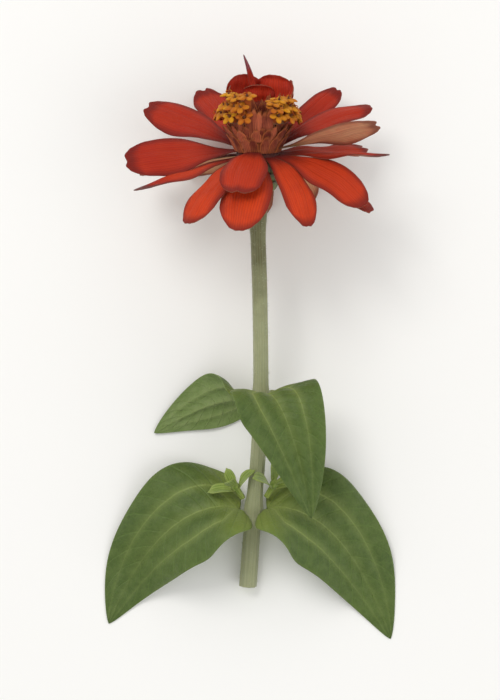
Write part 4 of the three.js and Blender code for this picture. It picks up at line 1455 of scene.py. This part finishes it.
def shootParts(shoot):
    size = shootShape
    draw = drawer(shoot["seed"])
    ahead = unit(np.array(shoot["ahead"], float))
    axis = unit(np.cross((0, 0, 1), ahead))
    lean = math.acos(ahead[2])

    def place(points):
        return turnedAbout(points, axis, lean) + lowerNode + np.array(shoot["foot"])

    def leafletPart(leaflet):
        def surface(s, t):
            return place(petalSurface(leaflet, s, t))

        return blade(surface, size["rows"], size["columns"], leafletThickness)

    top = size["stalk"] + size["bud"]
    height = np.linspace(0, top, size["stalkRows"])
    side = [(0.8, 0), (0.75, size["stalk"]), (1.25, size["stalk"] + 1.2), (0.7, top)]
    rings = turned(np.stack([radiusAt(side, height), height], -1), size["stalkColumns"], budFolds)
    parts = [tube(place(rings), end=place(np.array([0, 0, top + size["point"]])))]
    for quarter in range(4):
        pair = size["pairs"][quarter % 2]
        length = pair["length"] + draw()
        parts.append(leafletPart({
            "root": 0.1,
            "height": size["stalk"] + pair["up"],
            "turn": math.pi / 2 * quarter + 0.4 + 0.2 * draw(),
            "rise": math.radians(pair["rise"]),
            "bend": math.radians(pair["bend"]),
            "twist": 0.1 * draw(),
            "length": length,
            "width": length / 2,
            "relief": 0.25,
            "cup": 0.3,
            "sweep": 0.05 * draw(),
            "taper": 0,
            "notch": -0.08,
            "corner": 0.3,
            "ripple": 0.03,
            "phase": 0,
        }))
    return parts


for name, shoot in shoots.items():
    addPiece(name + "_leaflets", shootParts(shoot), [shootFace, shootFace], [name])


# Floor, light and camera, in metres
studio = {
    "floor": colour(247, 246, 243), "floorSize": 6.0, "floorDepth": 2e-5, "world": 0.74,
    "camera": {
        "distance": 0.9, "lean": math.radians(5), "to": (0, 0, 0.012), "frameHeight": 0.180, "sensor": 36.0,
    },
}
lamps = {
    "key": {
        "from": (-0.35, 0.5, 0.9), "to": (0, 0.01, 0.02), "size": 0.5, "power": 3.7, "tint": (1, 0.99, 0.97),
    },
    "fill": {
        "from": (0.7, -0.3, 0.6), "to": (0, 0, 0.02), "size": 0.8, "power": 1.4, "tint": (0.97, 0.985, 1),
    },
}


def makeFloor():
    half = studio["floorSize"] / 2
    corners = [(x * half, y * half, -studio["floorDepth"]) for x, y in ((-1, -1), (1, -1), (1, 1), (-1, 1))]
    mesh = bpy.data.meshes.new("floor")
    mesh.from_pydata(corners, [], [(0, 1, 2, 3)])
    material = bpy.data.materials.new("floor")
    material.use_nodes = True
    shader = material.node_tree.nodes["Principled BSDF"]
    shader.inputs["Base Color"].default_value = studio["floor"]
    shader.inputs["Roughness"].default_value = 0.9
    mesh.materials.append(material)
    floor = bpy.data.objects.new("floor", mesh)
    bpy.context.scene.collection.objects.link(floor)


def makeWorld():  # white light from all sides
    world = bpy.data.worlds.new("studio")
    world.use_nodes = True
    background = world.node_tree.nodes["Background"]
    background.inputs["Color"].default_value = (1, 1, 1, 1)
    background.inputs["Strength"].default_value = studio["world"]
    bpy.context.scene.world = world


def turnTowards(direction):  # the turn that points a lamp or a camera that way
    return Vector(direction.tolist()).to_track_quat("-Z", "Y").to_euler()


def makeLight(name, lamp):
    light = bpy.data.lights.new(name, "AREA")
    light.shape = "DISK"
    light.size = lamp["size"]
    light.energy = lamp["power"]
    light.color = lamp["tint"]
    holder = bpy.data.objects.new(name, light)
    holder.location = lamp["from"]
    holder.rotation_euler = turnTowards(np.array(lamp["to"]) - np.array(lamp["from"]))
    bpy.context.scene.collection.objects.link(holder)


def makeCamera():
    # It looks down on the flower, leaning from straight above the bloom towards the cut end of the stem.
    shot = studio["camera"]
    back = shot["distance"] * np.array([0, -math.sin(shot["lean"]), math.cos(shot["lean"])])
    eye = bloomPlace * metresPerMillimetre + back
    eye[0] = 0
    camera = bpy.data.cameras.new("camera")
    camera.sensor_width = shot["sensor"]
    camera.lens = shot["sensor"] * shot["distance"] / shot["frameHeight"]
    camera.clip_start = 0.01
    camera.clip_end = 20
    holder = bpy.data.objects.new("camera", camera)
    holder.location = eye
    holder.rotation_euler = turnTowards(np.array(shot["to"]) - eye)
    bpy.context.scene.collection.objects.link(holder)
    bpy.context.scene.camera = holder


makeFloor()
makeWorld()
for name, lamp in lamps.items():
    makeLight(name, lamp)
bpy.context.scene.view_settings.view_transform = "Standard"
makeCamera()
print("floor, light and camera are in place")
